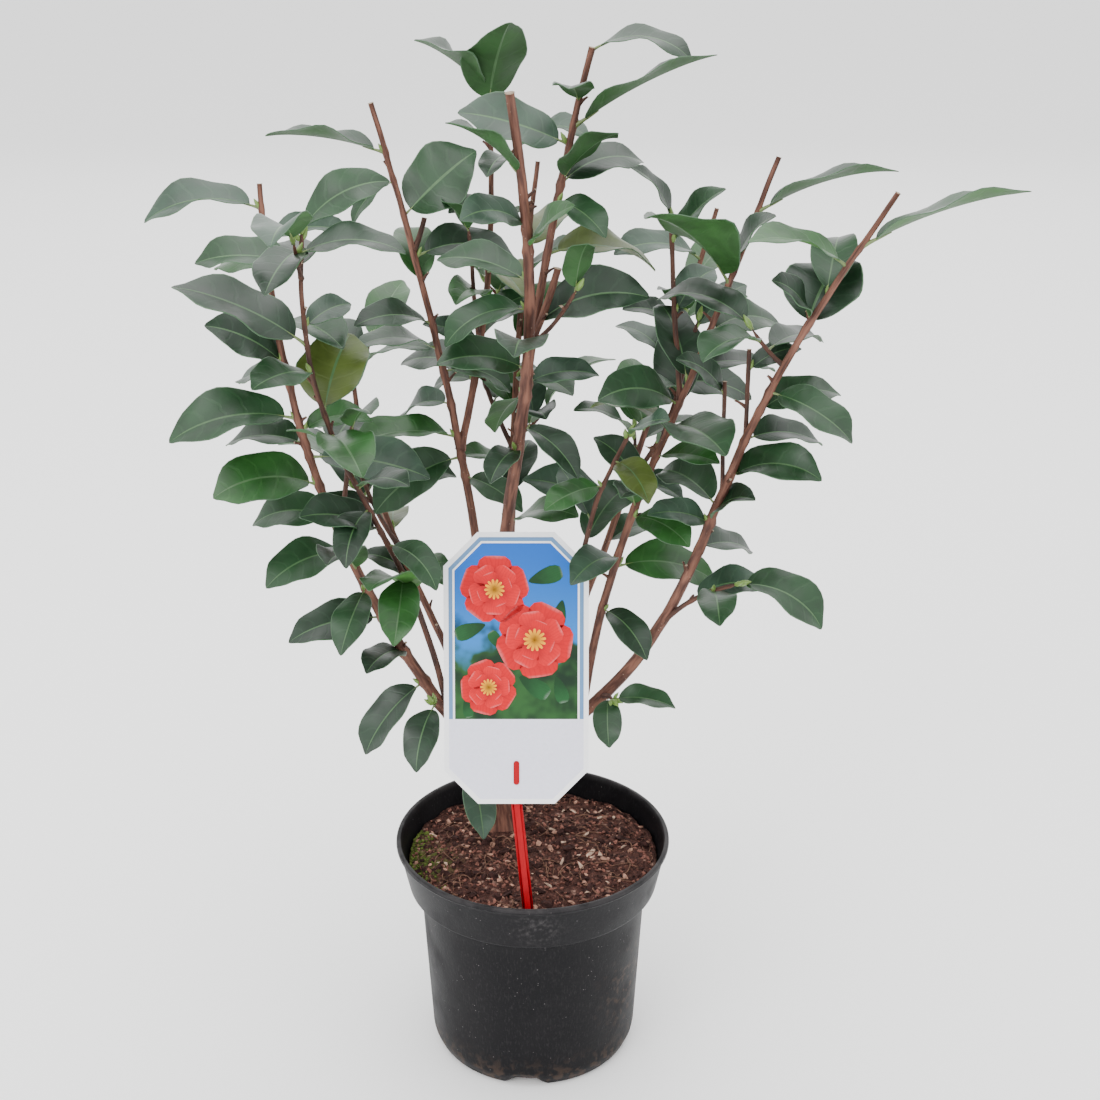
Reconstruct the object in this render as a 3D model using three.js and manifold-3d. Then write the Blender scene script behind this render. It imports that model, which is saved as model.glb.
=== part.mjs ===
// Camellia shrub in a three-litre nursery pot, with its plant label.
// Millimetres, +Z up. The origin is the centre of the pot's flat underside, and -Y is the front.
import * as THREE from 'three';
import { mergeVertices } from 'three/addons/utils/BufferGeometryUtils.js';
import Module from 'manifold-3d';

const wasm = await Module();
wasm.setup();

// ---------------------------------------------------------------------------------------------
// Driving dimensions
// ---------------------------------------------------------------------------------------------

const GAP = 0.3; // clearance between pieces that touch on the real plant

const POT = {
  height: 160,
  rimRadius: 95,
  collarFootRadius: 86.5,
  collarFoot: 126, // height of the collar's lower edge
  wallTopRadius: 78.5,
  wallTop: 121,
  wallFootRadius: 72.5,
  baseRadius: 68.5,
  footRound: 9, // height over which the wall rounds into the base
  wall: 2.2,
  lip: 3.6, // height of the rolled bead on the rim
  sides: 40,
  drains: 4,
  drainTurn: -94, // degrees from +X to the first of them
  drainWidth: 27,
  drainHeight: 6,
};

const SOIL = { level: 143, crown: 4, ripple: 1.2, rings: 6, slack: 0.7 };

const LABEL = {
  foot: new THREE.Vector3(-0.5, -80, 130), // lower end of the stem, in the soil
  lean: 17, // degrees back from upright
  tilt: -6, // degrees sideways, to the left going up
  width: 94,
  height: 178,
  corner: 22,
  card: 1,
  slotUp: 12, // slot's lower end above the card's lower edge
  slotLength: 17,
  slotWidth: 5,
  stemWidth: 7,
  stemDepth: 3.2,
  cardUp: 90, // card's lower edge above the stem's foot, measured along the stem
};

const TRUNK = {
  foot: new THREE.Vector3(-22, 30, 138),
  tip: new THREE.Vector3(-23, 29, 214),
  bow: new THREE.Vector3(-2, 0, 0),
  sway: new THREE.Vector3(1, 1, 0),
  cut: 141, // height of the flat cut at soil level
  radii: [9.5, 7.5],
  flare: 4.5,
  flareHeight: 11,
};

// Every stem is one curve: a straight run from its foot, a place along what bears it, to its tip,
// pushed out by bow at its middle and by sway a quarter of the way along each half. The part below
// split is a bare bough, and the part above it carries a mass of foliage. Branches are the shorter
// stems of a mass, each borne by the main stem or by the branch that on counts to. A leaf row holds
// [place along the stem, bearing, rise, length, turn, droop, slim]: degrees anticlockwise from +X,
// degrees above the horizontal, millimetres, degrees that its upper face is turned to the front,
// degrees that it arches down over its length, and its widest half-width as a share of its length.
// The last two follow the rule where they aren't given. Between its set leaves a stem bears others
// by rule over its leafy stretch, the first of them at phase.
const STEMS = [
  {
    name: 'left_outer', from: ['trunk', 0.68], split: 0.17, radii: [4.4, 1.6],
    tip: [-162, 5, 607], bow: [-31, -20, -11], sway: [-1, 3, 5],
    leafy: [0.2, 0.94], phase: 70,
    leaves: [
      [0.97, -172, -5, 74, 15], [0.93, 26, -3, 60, 20], [0.9, 145, -10, 50, 40],
      [0.77, -160, 30, 56, 50], [0.74, 140, -10, 54, 30], [0.69, -170, -8, 84, 30],
      [0.67, 7, 9, 48, 30], [0.65, 160, -5, 58, 20], [0.63, -4, -10, 78, 30, 30],
      [0.58, -162, 2, 72, 35], [0.52, 170, -5, 58, 40], [0.46, -150, -10, 62, 30],
      [0.39, -105, -35, 54, 0], [0.33, -170, -10, 66, 30], [0.26, -120, 5, 48, 10],
      [0.2, -155, -50, 66, 20],
    ],
    branches: [{ at: 0.5, tip: [-108, -36, 470], radii: [2, 1.3], leaves: [[0.95, -60, 30, 46, 30]] }],
  },
  {
    name: 'left_inner', from: ['left_outer', 0.128], split: 0.22, radii: [2.3, 1.3],
    tip: [-126, -80, 595], bow: [-12, -1, 0], sway: [9, 3, 2],
    leafy: [0.25, 0.96], phase: 200,
    leaves: [
      [1, 6, 31, 60, 40], [0.97, -102, -13, 58, 0], [0.84, 50, 10, 40, 50],
      [0.81, -170, 29, 84, 25, 25], [0.76, -120, 2, 52, 30], [0.68, 75, 46, 58, 0, 30, 0.4],
      [0.48, -110, -30, 50, 10], [0.43, -140, 20, 62, 40], [0.4, -35, -25, 50, 30],
      [0.33, -90, -35, 54, 0],
    ],
    branches: [],
  },
  {
    name: 'left_centre', from: ['trunk', 0.82], split: 0.4, radii: [3.6, 1.7],
    tip: [-99, 55, 648], bow: [13, 16, 2], sway: [1, -1, 0],
    leafy: [0.43, 0.95], phase: 20,
    leaves: [
      [0.93, -168, 10, 76, 0, 25], [0.89, -150, -40, 40, 10], [0.84, 13, 37, 62, 45, 20, 0.4],
      [0.78, 17, -4, 72, 30], [0.68, -145, 5, 58, 30], [0.61, 20, -25, 54, 30],
      [0.56, 145, -25, 52, 30], [0.48, -160, -28, 72, 40], [0.45, -50, -20, 50, 20],
    ],
    branches: [
      {
        at: 0.49, tip: [-28, 96, 650], bow: [9, 8, -2], radii: [2.7, 1.45],
        leafy: [0.12, 0.84], phase: 110,
        leaves: [
          [1, -162, 36, 58, 0, 25, 0.4], [0.96, -68, 62, 62, 0, 25, 0.36],
          [0.7, -145, -5, 34, 40], [0.43, -115, 10, 52, 40], [0.3, -165, 22, 42, 40],
          [0.2, 165, -22, 48, 40],
        ],
      },
      { on: 1, at: 0.3, tip: [-40, 62, 570], radii: [1.7, 1.2], leaves: [[0.97, -110, 40, 40, 20]] },
      { at: 0.79, tip: [-69, 72, 574], radii: [1.9, 1.7], leaves: [] },
    ],
  },
  {
    name: 'centre', from: ['trunk', 0.9], split: 0.44, radii: [5.2, 2.6],
    tip: [-10, -58, 667], bow: [8, 19, -1], sway: [-7.5, 8, 4],
    leafy: [0.47, 0.92], phase: 60,
    leaves: [
      [0.84, -140, 12, 52, 50], [0.81, -42, 40, 46, 50], [0.73, -165, -18, 60, 20],
      [0.64, -155, 10, 62, 50], [0.62, 15, 5, 48, 40], [0.6, 120, -40, 56, 20],
      [0.55, -35, -35, 52, 20], [0.51, -115, -10, 46, 20],
    ],
    branches: [
      {
        at: 0.62, tip: [37, 22, 684], bow: [-3, 12, -2], radii: [2.9, 1.9],
        leafy: [0.14, 0.9], phase: 150,
        leaves: [
          [0.99, -8, -4, 66, 10, 80], [0.77, -18, 28, 97, 0, 18, 0.2], [0.72, -169, 15, 70, 40, 25],
          [0.61, -32, 38, 54, 0, 40, 0.36], [0.6, 30, 10, 64, 30], [0.55, -55, -18, 50, 30],
          [0.39, 20, -12, 80, 20], [0.17, -8, 14, 76, 40],
        ],
      },
      { on: 1, at: 0.14, tip: [17, -5, 558], radii: [2.3, 2.2], leaves: [] },
      { on: 1, at: 0.12, tip: [28, -28, 550], radii: [1.6, 1.1], leaves: [[0.96, -75, 55, 44, 50]] },
    ],
  },
  {
    name: 'right_outer', from: ['trunk', 0.7], split: 0.42, radii: [4.9, 1.55],
    tip: [207, -62, 613], bow: [18, 0, -17], sway: [15, 2, -5],
    leafy: [0.45, 0.92], phase: 260,
    leaves: [
      [0.93, -18, 22, 99, 0, 25, 0.2], [0.83, -145, 40, 42, 50], [0.82, 58, 38, 58, 20, 35, 0.42],
      [0.73, -30, -25, 60, 20], [0.7, 15, 10, 56, 30], [0.66, 25, -10, 58, 30],
      [0.6, -25, 10, 66, 30], [0.53, -150, 15, 48, 50], [0.53, -45, 36, 48, 50],
      [0.49, 40, -18, 54, 30],
    ],
    branches: [
      { at: 0.66, tip: [132, -25, 513], radii: [1.5, 1.35], leaves: [[0.8, 20, 15, 40, 30]] },
      { at: 0.58, tip: [119, -15, 490], radii: [1.5, 1.3], leaves: [[0.9, -165, 38, 42, 40]] },
    ],
  },
  {
    name: 'right_centre', from: ['right_outer', 0.157], split: 0.14, radii: [3.1, 1.6],
    tip: [149, 10, 622], bow: [-12, -13, 3], sway: [-2, 1, 6],
    leafy: [0.18, 0.93], phase: 30,
    leaves: [
      [0.92, -19, 20, 88, 0, 30, 0.2], [0.81, -145, 36, 86, 0, 45, 0.38], [0.83, -37, 55, 50, 50],
      [0.73, 25, 0, 56, 30], [0.67, -15, -8, 60, 20], [0.6, -165, 15, 66, 50],
      [0.56, 160, 8, 56, 0], [0.56, -70, 4, 80, 15, 40, 0.27], [0.5, -40, 5, 48, 20],
      [0.43, 160, 42, 48, 40], [0.4, -100, 25, 56, 50], [0.38, -25, -14, 48, 30],
      [0.3, -140, 0, 56, 30], [0.28, -20, -10, 74, 30], [0.2, -50, -25, 52, 20],
    ],
    branches: [
      {
        at: 0.61, tip: [87, 28, 580], radii: [1.9, 1.4],
        leaves: [[1, -150, 50, 46, 50], [0.9, -30, 46, 50, 50], [0.55, 45, 32, 46, 30]],
      },
      { at: 0.45, tip: [105, 20, 520], radii: [1.6, 1.1], leaves: [[0.95, 40, 30, 50, 20]] },
    ],
  },
  {
    name: 'right_inner', from: ['centre', 0.1], split: 0.5, radii: [2.2, 1.35],
    tip: [61, -26, 460], bow: [12, 9, -10], sway: [7, 1, -6],
    leafy: [0.55, 0.95], phase: 340,
    leaves: [[0.99, -40, 28, 44, 40], [0.9, -60, -20, 46, 20], [0.81, -145, -10, 46, 30]],
    branches: [],
  },
  {
    name: 'right_low', from: ['right_outer', 0.348], split: 0, radii: [2, 1.3],
    tip: [131, -32, 362], bow: [-4, 0, 4], sway: [0, 0, 0],
    leafy: [0.3, 0.9], phase: 120,
    leaves: [[0.98, -15, -20, 66, 20], [0.75, -90, 0, 54, 40], [0.5, 10, 10, 52, 20]],
    branches: [],
  },
  {
    name: 'low_left', from: ['trunk', 0.9], split: 0, radii: [2.2, 1.4],
    tip: [-66, -2, 262], bow: [-4, -3, 2], sway: [0, 0, 0],
    leafy: [0.35, 0.9], phase: 80,
    leaves: [[0.98, -110, -38, 52, 0]],
    branches: [],
  },
  {
    name: 'low_front', from: ['trunk', 0.76], split: 0, radii: [2, 1.4],
    tip: [-42, -6, 212], bow: [0, -2, 4], sway: [0, 0, 0],
    leafy: [0.4, 0.8], phase: 0,
    leaves: [[0.9, -80, -32, 54, 0]],
    branches: [],
  },
  {
    name: 'low_right', from: ['right_outer', 0.2], split: 0, radii: [1.7, 1.2],
    tip: [54, -8, 268], bow: [0, 0, 2], sway: [0, 0, 0],
    leaves: [[0.95, -12, 0, 44, 20], [0.6, -95, -45, 38, 10]],
    branches: [],
  },
  {
    name: 'back_left', from: ['trunk', 0.78], split: 0.36, radii: [3.2, 1.5],
    tip: [-126, 104, 486], bow: [-14, 14, -10], sway: [2, 6, 4],
    leafy: [0.4, 0.95], phase: 170, leaves: [],
    branches: [{ at: 0.55, tip: [-118, 58, 410], radii: [1.9, 1.3], leafy: [0.3, 1], phase: 200, leaves: [] }],
  },
  {
    name: 'back', from: ['trunk', 0.84], split: 0.34, radii: [3.6, 1.6],
    tip: [4, 136, 600], bow: [-4, 18, -12], sway: [3, 5, 3],
    leafy: [0.38, 0.95], phase: 310, leaves: [],
    branches: [{ at: 0.55, tip: [-46, 122, 490], radii: [1.9, 1.3], leafy: [0.3, 1], phase: 60, leaves: [] }],
  },
  {
    name: 'back_right', from: ['trunk', 0.74], split: 0.36, radii: [3.2, 1.5],
    tip: [122, 100, 575], bow: [12, 16, -12], sway: [4, 4, 2],
    leafy: [0.4, 0.95], phase: 40, leaves: [],
    branches: [{ at: 0.55, tip: [108, 50, 480], radii: [1.9, 1.3], leafy: [0.3, 1], phase: 330, leaves: [] }],
  },
];

const LEAF = {
  stations: [0, 0.13, 0.42, 0.76, 1], // along the leaf, from the stem's axis to the point
  widths: [0, 0.1, 1, 0.78, 0], // half-width at each station, as a share of the widest
  slim: [0.22, 0.28], // widest half-width as a share of the length
  thick: 1.6, // over the midrib, thinning to the margins
  fold: [12, 30], // degrees that each half rises from the midrib
  droop: [35, 75], // degrees that the leaf arches down over its length
  reach: [46, 74], // length of a leaf that grows by rule
};

const RULE = {
  internode: 21, // distance between leaves along a stem
  divergence: 137.5, // degrees round the stem from one leaf to the next
  wander: 16,
  rise: [-5, 40],
  turn: 22,
  near: 11, // a rule leaf keeps this far along the stem from a set leaf
  shootEvery: 4, // each fourth place bears a short side shoot in place of a leaf
  shoot: [26, 44],
  shootRise: 42,
  shootRadii: [1.4, 0.9],
  clearLeaf: 9.5, // least distance between sampled points of leaves in different masses
  clearOwn: 4.5, // and between leaves of the same mass
  clearStem: 6,
  clearSoil: 8,
  tries: [0, 14, -14, 28, -28, 42, -42, 60, -60],
  sunk: 0.8, // share of the stem's radius that a leaf's root reaches past its axis
  seed: 2711,
  seedStep: 101,
};

const LIMB_SIDES = 6;
const TWIG_SIDES = 3;
const STEP_LENGTH = 26; // length of one facet along a limb

// ---------------------------------------------------------------------------------------------
// Materials
// ---------------------------------------------------------------------------------------------

const paint = (color, roughness) => new THREE.MeshStandardMaterial({ color, roughness, metalness: 0 });

const MATERIALS = {
  pot: paint(0x2b2b2f, 0.6),
  soil: paint(0x4a3028, 0.95),
  card: paint(0xe6e7f2, 0.4),
  stem: paint(0xd01c1c, 0.35),
  bark: paint(0x6b4a3a, 0.8),
  leaf: paint(0x2f4d24, 0.4),
};

// ---------------------------------------------------------------------------------------------
// Small helpers
// ---------------------------------------------------------------------------------------------

const UP = new THREE.Vector3(0, 0, 1);
const rad = THREE.MathUtils.degToRad;
const vec = (list) => new THREE.Vector3(...list);
const mix = (a, b, t) => a + (b - a) * t;

// Park and Miller's generator, so that the same seed gives the same plant everywhere.
function seeded(seed) {
  const MODULUS = 2147483647;
  const FACTOR = 16807;
  const WARM_UP = 8;
  let state = seed % MODULUS;
  const next = () => {
    state = (state * FACTOR) % MODULUS;
    return state / MODULUS;
  };
  for (let i = 0; i < WARM_UP; i += 1) next();
  return { next, between: (low, high) => mix(low, high, next()) };
}

// A geometry as a manifold solid, with its shared vertices merged.
function solidOf(geometry) {
  geometry.deleteAttribute('normal');
  geometry.deleteAttribute('uv');
  const merged = mergeVertices(geometry, 1e-4);
  return new wasm.Manifold(new wasm.Mesh({
    numProp: 3,
    vertProperties: Float32Array.from(merged.attributes.position.array),
    triVerts: Uint32Array.from(merged.index.array),
  }));
}

// The largest connected body of a solid. Scraps and sealed hollows are dropped.
function mainBody(solid) {
  return solid.decompose().reduce((best, body) => (body.volume() > best.volume() ? body : best));
}

function node(name, solid, material) {
  const { vertProperties, triVerts } = mainBody(solid).getMesh();
  const geometry = new THREE.BufferGeometry();
  geometry.setAttribute('position', new THREE.BufferAttribute(vertProperties, 3));
  geometry.setIndex(new THREE.BufferAttribute(triVerts, 1));
  geometry.computeVertexNormals();
  const mesh = new THREE.Mesh(geometry, material);
  mesh.name = name;
  return mesh;
}

function box(width, depth, height, place) {
  return solidOf(new THREE.BoxGeometry(width, depth, height).applyMatrix4(place));
}

// ---------------------------------------------------------------------------------------------
// Stems and limbs
// ---------------------------------------------------------------------------------------------

class StemCurve extends THREE.Curve {
  constructor(foot, tip, bow, sway) {
    super();
    Object.assign(this, { foot, tip, bow, sway });
  }

  getPoint(t) {
    return this.foot.clone().lerp(this.tip, t)
      .addScaledVector(this.bow, 4 * t * (1 - t))
      .addScaledVector(this.sway, Math.sin(2 * Math.PI * t));
  }
}

// A tapering round limb along curve from t0 to t1, with flat ends square to the curve.
function limb(curve, t0, t1, radiusAt, sides) {
  const length = curve.getLength() * (t1 - t0);
  const steps = Math.max(2, Math.round(length / STEP_LENGTH));
  const geometry = new THREE.CylinderGeometry(1, 1, 1, sides, steps);
  const place = geometry.attributes.position;
  const chord = curve.getPoint(t1).sub(curve.getPoint(t0));
  const across = new THREE.Vector3(0, 1, 0).cross(chord).lengthSq() > 1
    ? new THREE.Vector3(0, 1, 0) : new THREE.Vector3(1, 0, 0);
  for (let i = 0; i < place.count; i += 1) {
    const t = mix(t0, t1, place.getY(i) + 0.5);
    const side = curve.getTangent(t).cross(across).normalize();
    const front = side.clone().cross(curve.getTangent(t));
    const radius = radiusAt(t);
    const point = curve.getPoint(t)
      .addScaledVector(side, place.getX(i) * radius)
      .addScaledVector(front, place.getZ(i) * radius);
    place.setXYZ(i, point.x, point.y, point.z);
  }
  return solidOf(geometry);
}

const taper = ([from, to], more = 0) => (t) => mix(from, to, t) + more;

function trunkRadius(more) {
  return (t) => {
    const above = Math.max(0, TRUNK.curve.getPoint(t).z - TRUNK.cut);
    return taper(TRUNK.radii, more)(t) + TRUNK.flare * Math.exp(-above / TRUNK.flareHeight);
  };
}

TRUNK.curve = new StemCurve(TRUNK.foot, TRUNK.tip, TRUNK.bow, TRUNK.sway);

const TRUNK_SIDES = 12;

// The trunk with its root flare. More widens it all over, for the room that its neighbours leave it.
function trunkSolid(more) {
  const LONG = 200;
  const whole = limb(TRUNK.curve, 0, 1, trunkRadius(more), TRUNK_SIDES);
  const below = new THREE.Matrix4().makeTranslation(0, 0, TRUNK.cut - more - LONG / 2);
  return whole.subtract(box(LONG, LONG, LONG, below));
}

// Short branches leave their stem a little more level than their chord and then turn upward.
const branchSag = (foot, tip) => new THREE.Vector3(0, 0, -0.07 * foot.distanceTo(tip));

const CURVES = new Map([['trunk', TRUNK.curve]]);
for (const stem of STEMS) {
  const [bearer, place] = stem.from;
  const foot = CURVES.get(bearer).getPoint(place);
  stem.curve = new StemCurve(foot, vec(stem.tip), vec(stem.bow), vec(stem.sway));
  CURVES.set(stem.name, stem.curve);
  stem.carriers = [stem];
  for (const branch of stem.branches) {
    const start = stem.carriers[branch.on ?? 0].curve.getPoint(branch.at);
    const end = vec(branch.tip);
    const bow = branch.bow ? vec(branch.bow) : branchSag(start, end);
    branch.curve = new StemCurve(start, end, bow, new THREE.Vector3());
    stem.carriers.push(branch);
  }
}

// ---------------------------------------------------------------------------------------------
// Leaves
// ---------------------------------------------------------------------------------------------

// The numbers of one leaf. Set leaves and rule leaves draw their width, fold and droop alike.
function leafSpec(base, [, bearing, rise, length, turn, setDroop, setSlim], random) {
  const ruleSlim = random.between(...LEAF.slim);
  const fold = random.between(...LEAF.fold);
  const ruleDroop = random.between(...LEAF.droop);
  const slim = setSlim ?? ruleSlim;
  return { base, bearing, rise, length, turn, slim, fold, droop: setDroop ?? ruleDroop };
}

// The leaf's midrib point and its three directions at a share s of its length.
function leafFrame(leaf, s) {
  const heading = rad(leaf.bearing);
  const bend = rad(leaf.droop);
  const start = rad(leaf.rise) + bend / 2;
  const pitch = start - bend * s;
  const out = leaf.length / bend;
  const level = new THREE.Vector3(Math.cos(heading), Math.sin(heading), 0);
  const point = leaf.base.clone()
    .addScaledVector(level, out * (Math.sin(start) - Math.sin(pitch)))
    .addScaledVector(UP, out * (Math.cos(pitch) - Math.cos(start)));
  const along = level.clone().multiplyScalar(Math.cos(pitch)).addScaledVector(UP, Math.sin(pitch));
  const roll = rad(leaf.turn) * Math.cos(heading);
  const left = new THREE.Vector3(-Math.sin(heading), Math.cos(heading), 0);
  const upright = along.clone().cross(left);
  const normal = upright.clone().multiplyScalar(Math.cos(roll)).addScaledVector(left, -Math.sin(roll));
  const across = left.multiplyScalar(Math.cos(roll)).addScaledVector(upright, Math.sin(roll));
  return { point, along, normal, across };
}

// A point of the leaf's blade, at side -1 to 1 from margin to margin, lifted off it by lift.
function leafPoint(leaf, s, halfWidth, side, lift) {
  const { point, normal, across } = leafFrame(leaf, s);
  const fold = rad(leaf.fold);
  const reach = halfWidth * side;
  return point
    .addScaledVector(across, reach * Math.cos(fold))
    .addScaledVector(normal, Math.abs(reach) * Math.sin(fold) + lift);
}

// A folded, arching blade on a short stalk. A sphere of four sides gives its loops of vertices.
function leafSolid(leaf, sunk) {
  const rows = LEAF.stations.length - 1;
  const geometry = new THREE.SphereGeometry(1, 4, rows);
  const place = geometry.attributes.position;
  for (let i = 0; i < place.count; i += 1) {
    const ring = Math.round((Math.acos(place.getY(i)) / Math.PI) * rows);
    const reach = Math.hypot(place.getX(i), place.getZ(i)) || 1;
    const s = LEAF.stations[ring];
    const halfWidth = leaf.length * leaf.slim * LEAF.widths[ring];
    const atEnd = ring === 0 || ring === rows;
    const lift = atEnd ? 0 : (place.getZ(i) / reach) * (LEAF.thick / 2);
    const point = leafPoint(leaf, s, halfWidth, place.getX(i) / reach, lift);
    if (ring === 0) point.addScaledVector(leafFrame(leaf, 0).along, -sunk);
    place.setXYZ(i, point.x, point.y, point.z);
  }
  return solidOf(geometry);
}

// ---------------------------------------------------------------------------------------------
// The rule by which the foliage grows
// ---------------------------------------------------------------------------------------------

// Points already taken, each with the mass it belongs to and the room to keep round it.
const taken = [];

const LEAF_SAMPLES = [0.2, 0.35, 0.5, 0.65, 0.8, 0.97];

function leafSamples(leaf) {
  const points = [];
  for (const s of LEAF_SAMPLES) {
    const half = leaf.length * leaf.slim * Math.sin(Math.PI * s);
    for (const side of [-0.8, 0, 0.8]) points.push(leafPoint(leaf, s, half, side, 0));
  }
  return points;
}

function claimStem(owner, curve, t0, t1, radiusAt) {
  const STEP = 6;
  const count = Math.max(1, Math.ceil((curve.getLength() * (t1 - t0)) / STEP));
  for (let i = 0; i <= count; i += 1) {
    const t = mix(t0, t1, i / count);
    taken.push({ owner, point: curve.getPoint(t), room: radiusAt(t) + RULE.clearStem, ownRoom: 0 });
  }
}

function isClear(owner, points) {
  const floor = SOIL.level + SOIL.crown + RULE.clearSoil;
  const roomOf = (other) => (other.owner === owner ? other.ownRoom : other.room);
  return points.every((point) => point.z > floor
    && taken.every((other) => other.point.distanceTo(point) > roomOf(other)));
}

// Turns a leaf round its stem until it is clear of the other masses, or gives up on it.
function settle(owner, leaf) {
  for (const step of RULE.tries) {
    const turned = { ...leaf, bearing: leaf.bearing + step };
    const points = leafSamples(turned);
    if (isClear(owner, points)) {
      for (const point of points) {
        taken.push({ owner, point, room: RULE.clearLeaf, ownRoom: RULE.clearOwn });
      }
      return turned;
    }
  }
  return null;
}

// The places that fill a leafy stretch between its set leaves.
function rulePlaces(carrier, random) {
  const length = carrier.curve.getLength();
  const [from, to] = carrier.leafy;
  const count = Math.floor((length * (to - from)) / RULE.internode);
  const places = [];
  for (let index = 0; index < count; index += 1) {
    const at = mix(from, to, (index + random.between(0.3, 0.7)) / count);
    const wander = random.between(-RULE.wander, RULE.wander);
    const bearing = carrier.phase + index * RULE.divergence + wander;
    const rise = random.between(...RULE.rise);
    const size = random.between(...LEAF.reach);
    const turn = random.between(0, RULE.turn);
    const reach = random.between(...RULE.shoot);
    const crowded = carrier.leaves.some(([set]) => Math.abs(set - at) * length < RULE.near);
    if (!crowded) places.push({ row: [at, bearing, rise, size, turn], index, reach });
  }
  return places;
}

// A short side shoot with one leaf at its tip and two along it.
function sideShoot(carrier, { row: [at, bearing, rise, size, turn], reach }) {
  const foot = carrier.curve.getPoint(at);
  const heading = rad(bearing);
  const level = reach * Math.cos(rad(RULE.shootRise));
  const climb = reach * Math.sin(rad(RULE.shootRise));
  const run = new THREE.Vector3(level * Math.cos(heading), level * Math.sin(heading), climb);
  const tip = foot.clone().add(run);
  const leaves = [
    [0.98, bearing, rise, size, turn],
    [0.72, bearing + 80, rise - 8, size * 0.9, turn],
    [0.5, bearing - 85, rise - 14, size * 0.84, turn],
  ];
  const curve = new StemCurve(foot, tip, branchSag(foot, tip), new THREE.Vector3());
  return { curve, radii: RULE.shootRadii, leaves };
}

// Grows every mass: first the stems claim their room, then the set leaves, then the rule's.
function growFoliage() {
  const masses = STEMS.map((stem, index) => ({
    stem, random: seeded(RULE.seed + index * RULE.seedStep), carriers: [...stem.carriers], leaves: [],
  }));
  claimStem('trunk', TRUNK.curve, 0, 1, trunkRadius(0));
  claimLabel();
  for (const stem of STEMS) {
    claimStem(`${stem.name}_bough`, stem.curve, 0, stem.split, taper(stem.radii));
    claimStem(stem.name, stem.curve, stem.split, 1, taper(stem.radii));
    for (const branch of stem.branches) claimStem(stem.name, branch.curve, 0, 1, taper(branch.radii));
  }
  for (const mass of masses) {
    for (const carrier of mass.stem.carriers) addLeaves(mass, carrier, carrier.leaves);
  }
  for (const mass of masses) {
    for (const carrier of mass.stem.carriers.filter(({ leafy }) => leafy)) fillByRule(mass, carrier);
  }
  return masses;
}

function addLeaves(mass, carrier, rows) {
  for (const row of rows) {
    const leaf = settle(mass.stem.name, leafSpec(carrier.curve.getPoint(row[0]), row, mass.random));
    if (leaf) mass.leaves.push({ leaf, sunk: taper(carrier.radii)(row[0]) * RULE.sunk });
  }
}

function fillByRule(mass, carrier) {
  for (const place of rulePlaces(carrier, mass.random)) {
    if (place.index % RULE.shootEvery < RULE.shootEvery - 1) {
      addLeaves(mass, carrier, [place.row]);
      continue;
    }
    const shoot = sideShoot(carrier, place);
    const path = [0.35, 0.7, 1].map((t) => shoot.curve.getPoint(t));
    if (isClear(mass.stem.name, path)) {
      mass.carriers.push(shoot);
      claimStem(mass.stem.name, shoot.curve, 0, 1, taper(shoot.radii));
      addLeaves(mass, shoot, shoot.leaves);
    }
  }
}

// ---------------------------------------------------------------------------------------------
// Pot, soil and label
// ---------------------------------------------------------------------------------------------

const lathe = (profile, sides) => solidOf(new THREE.LatheGeometry(
  profile.map(([radius, height]) => new THREE.Vector2(radius, height)),
  sides,
).rotateX(Math.PI / 2));

function potSolid() {
  const { wall, height, lip } = POT;
  const profile = [
    [0, 0], [POT.baseRadius, 0], [POT.baseRadius + 2.6, POT.footRound * 0.3],
    [POT.wallFootRadius, POT.footRound], [POT.wallTopRadius, POT.wallTop],
    [POT.collarFootRadius, POT.collarFoot], [POT.rimRadius - 2, height - lip],
    [POT.rimRadius, height - lip * 0.6], [POT.rimRadius - 0.6, height],
    [POT.rimRadius - 3.2, height], [POT.rimRadius - 2 - wall, height - lip],
    [POT.collarFootRadius - wall, POT.collarFoot + 1], [POT.wallTopRadius - wall, POT.wallTop + 1],
    [POT.wallFootRadius - wall, POT.footRound], [POT.baseRadius - wall, wall], [0, wall],
  ];
  let pot = lathe(profile, POT.sides);
  for (let i = 0; i < POT.drains; i += 1) {
    const turn = rad(POT.drainTurn + (i / POT.drains) * 360);
    const place = new THREE.Matrix4().makeRotationZ(turn)
      .multiply(new THREE.Matrix4().makeTranslation(POT.wallFootRadius, 0, POT.drainHeight / 2 - 1));
    pot = pot.subtract(box(13, POT.drainWidth, POT.drainHeight + 2, place));
  }
  return pot;
}

// The soil's surface height at a share r of its radius, at an angle round the pot.
function soilHeight(r, angle) {
  const waves = Math.sin(3 * angle + 1) + Math.sin(5 * angle + 7 * r);
  return SOIL.level + SOIL.crown * (1 - r * r) + SOIL.ripple * waves * r * (1 - 0.5 * r);
}

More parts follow.
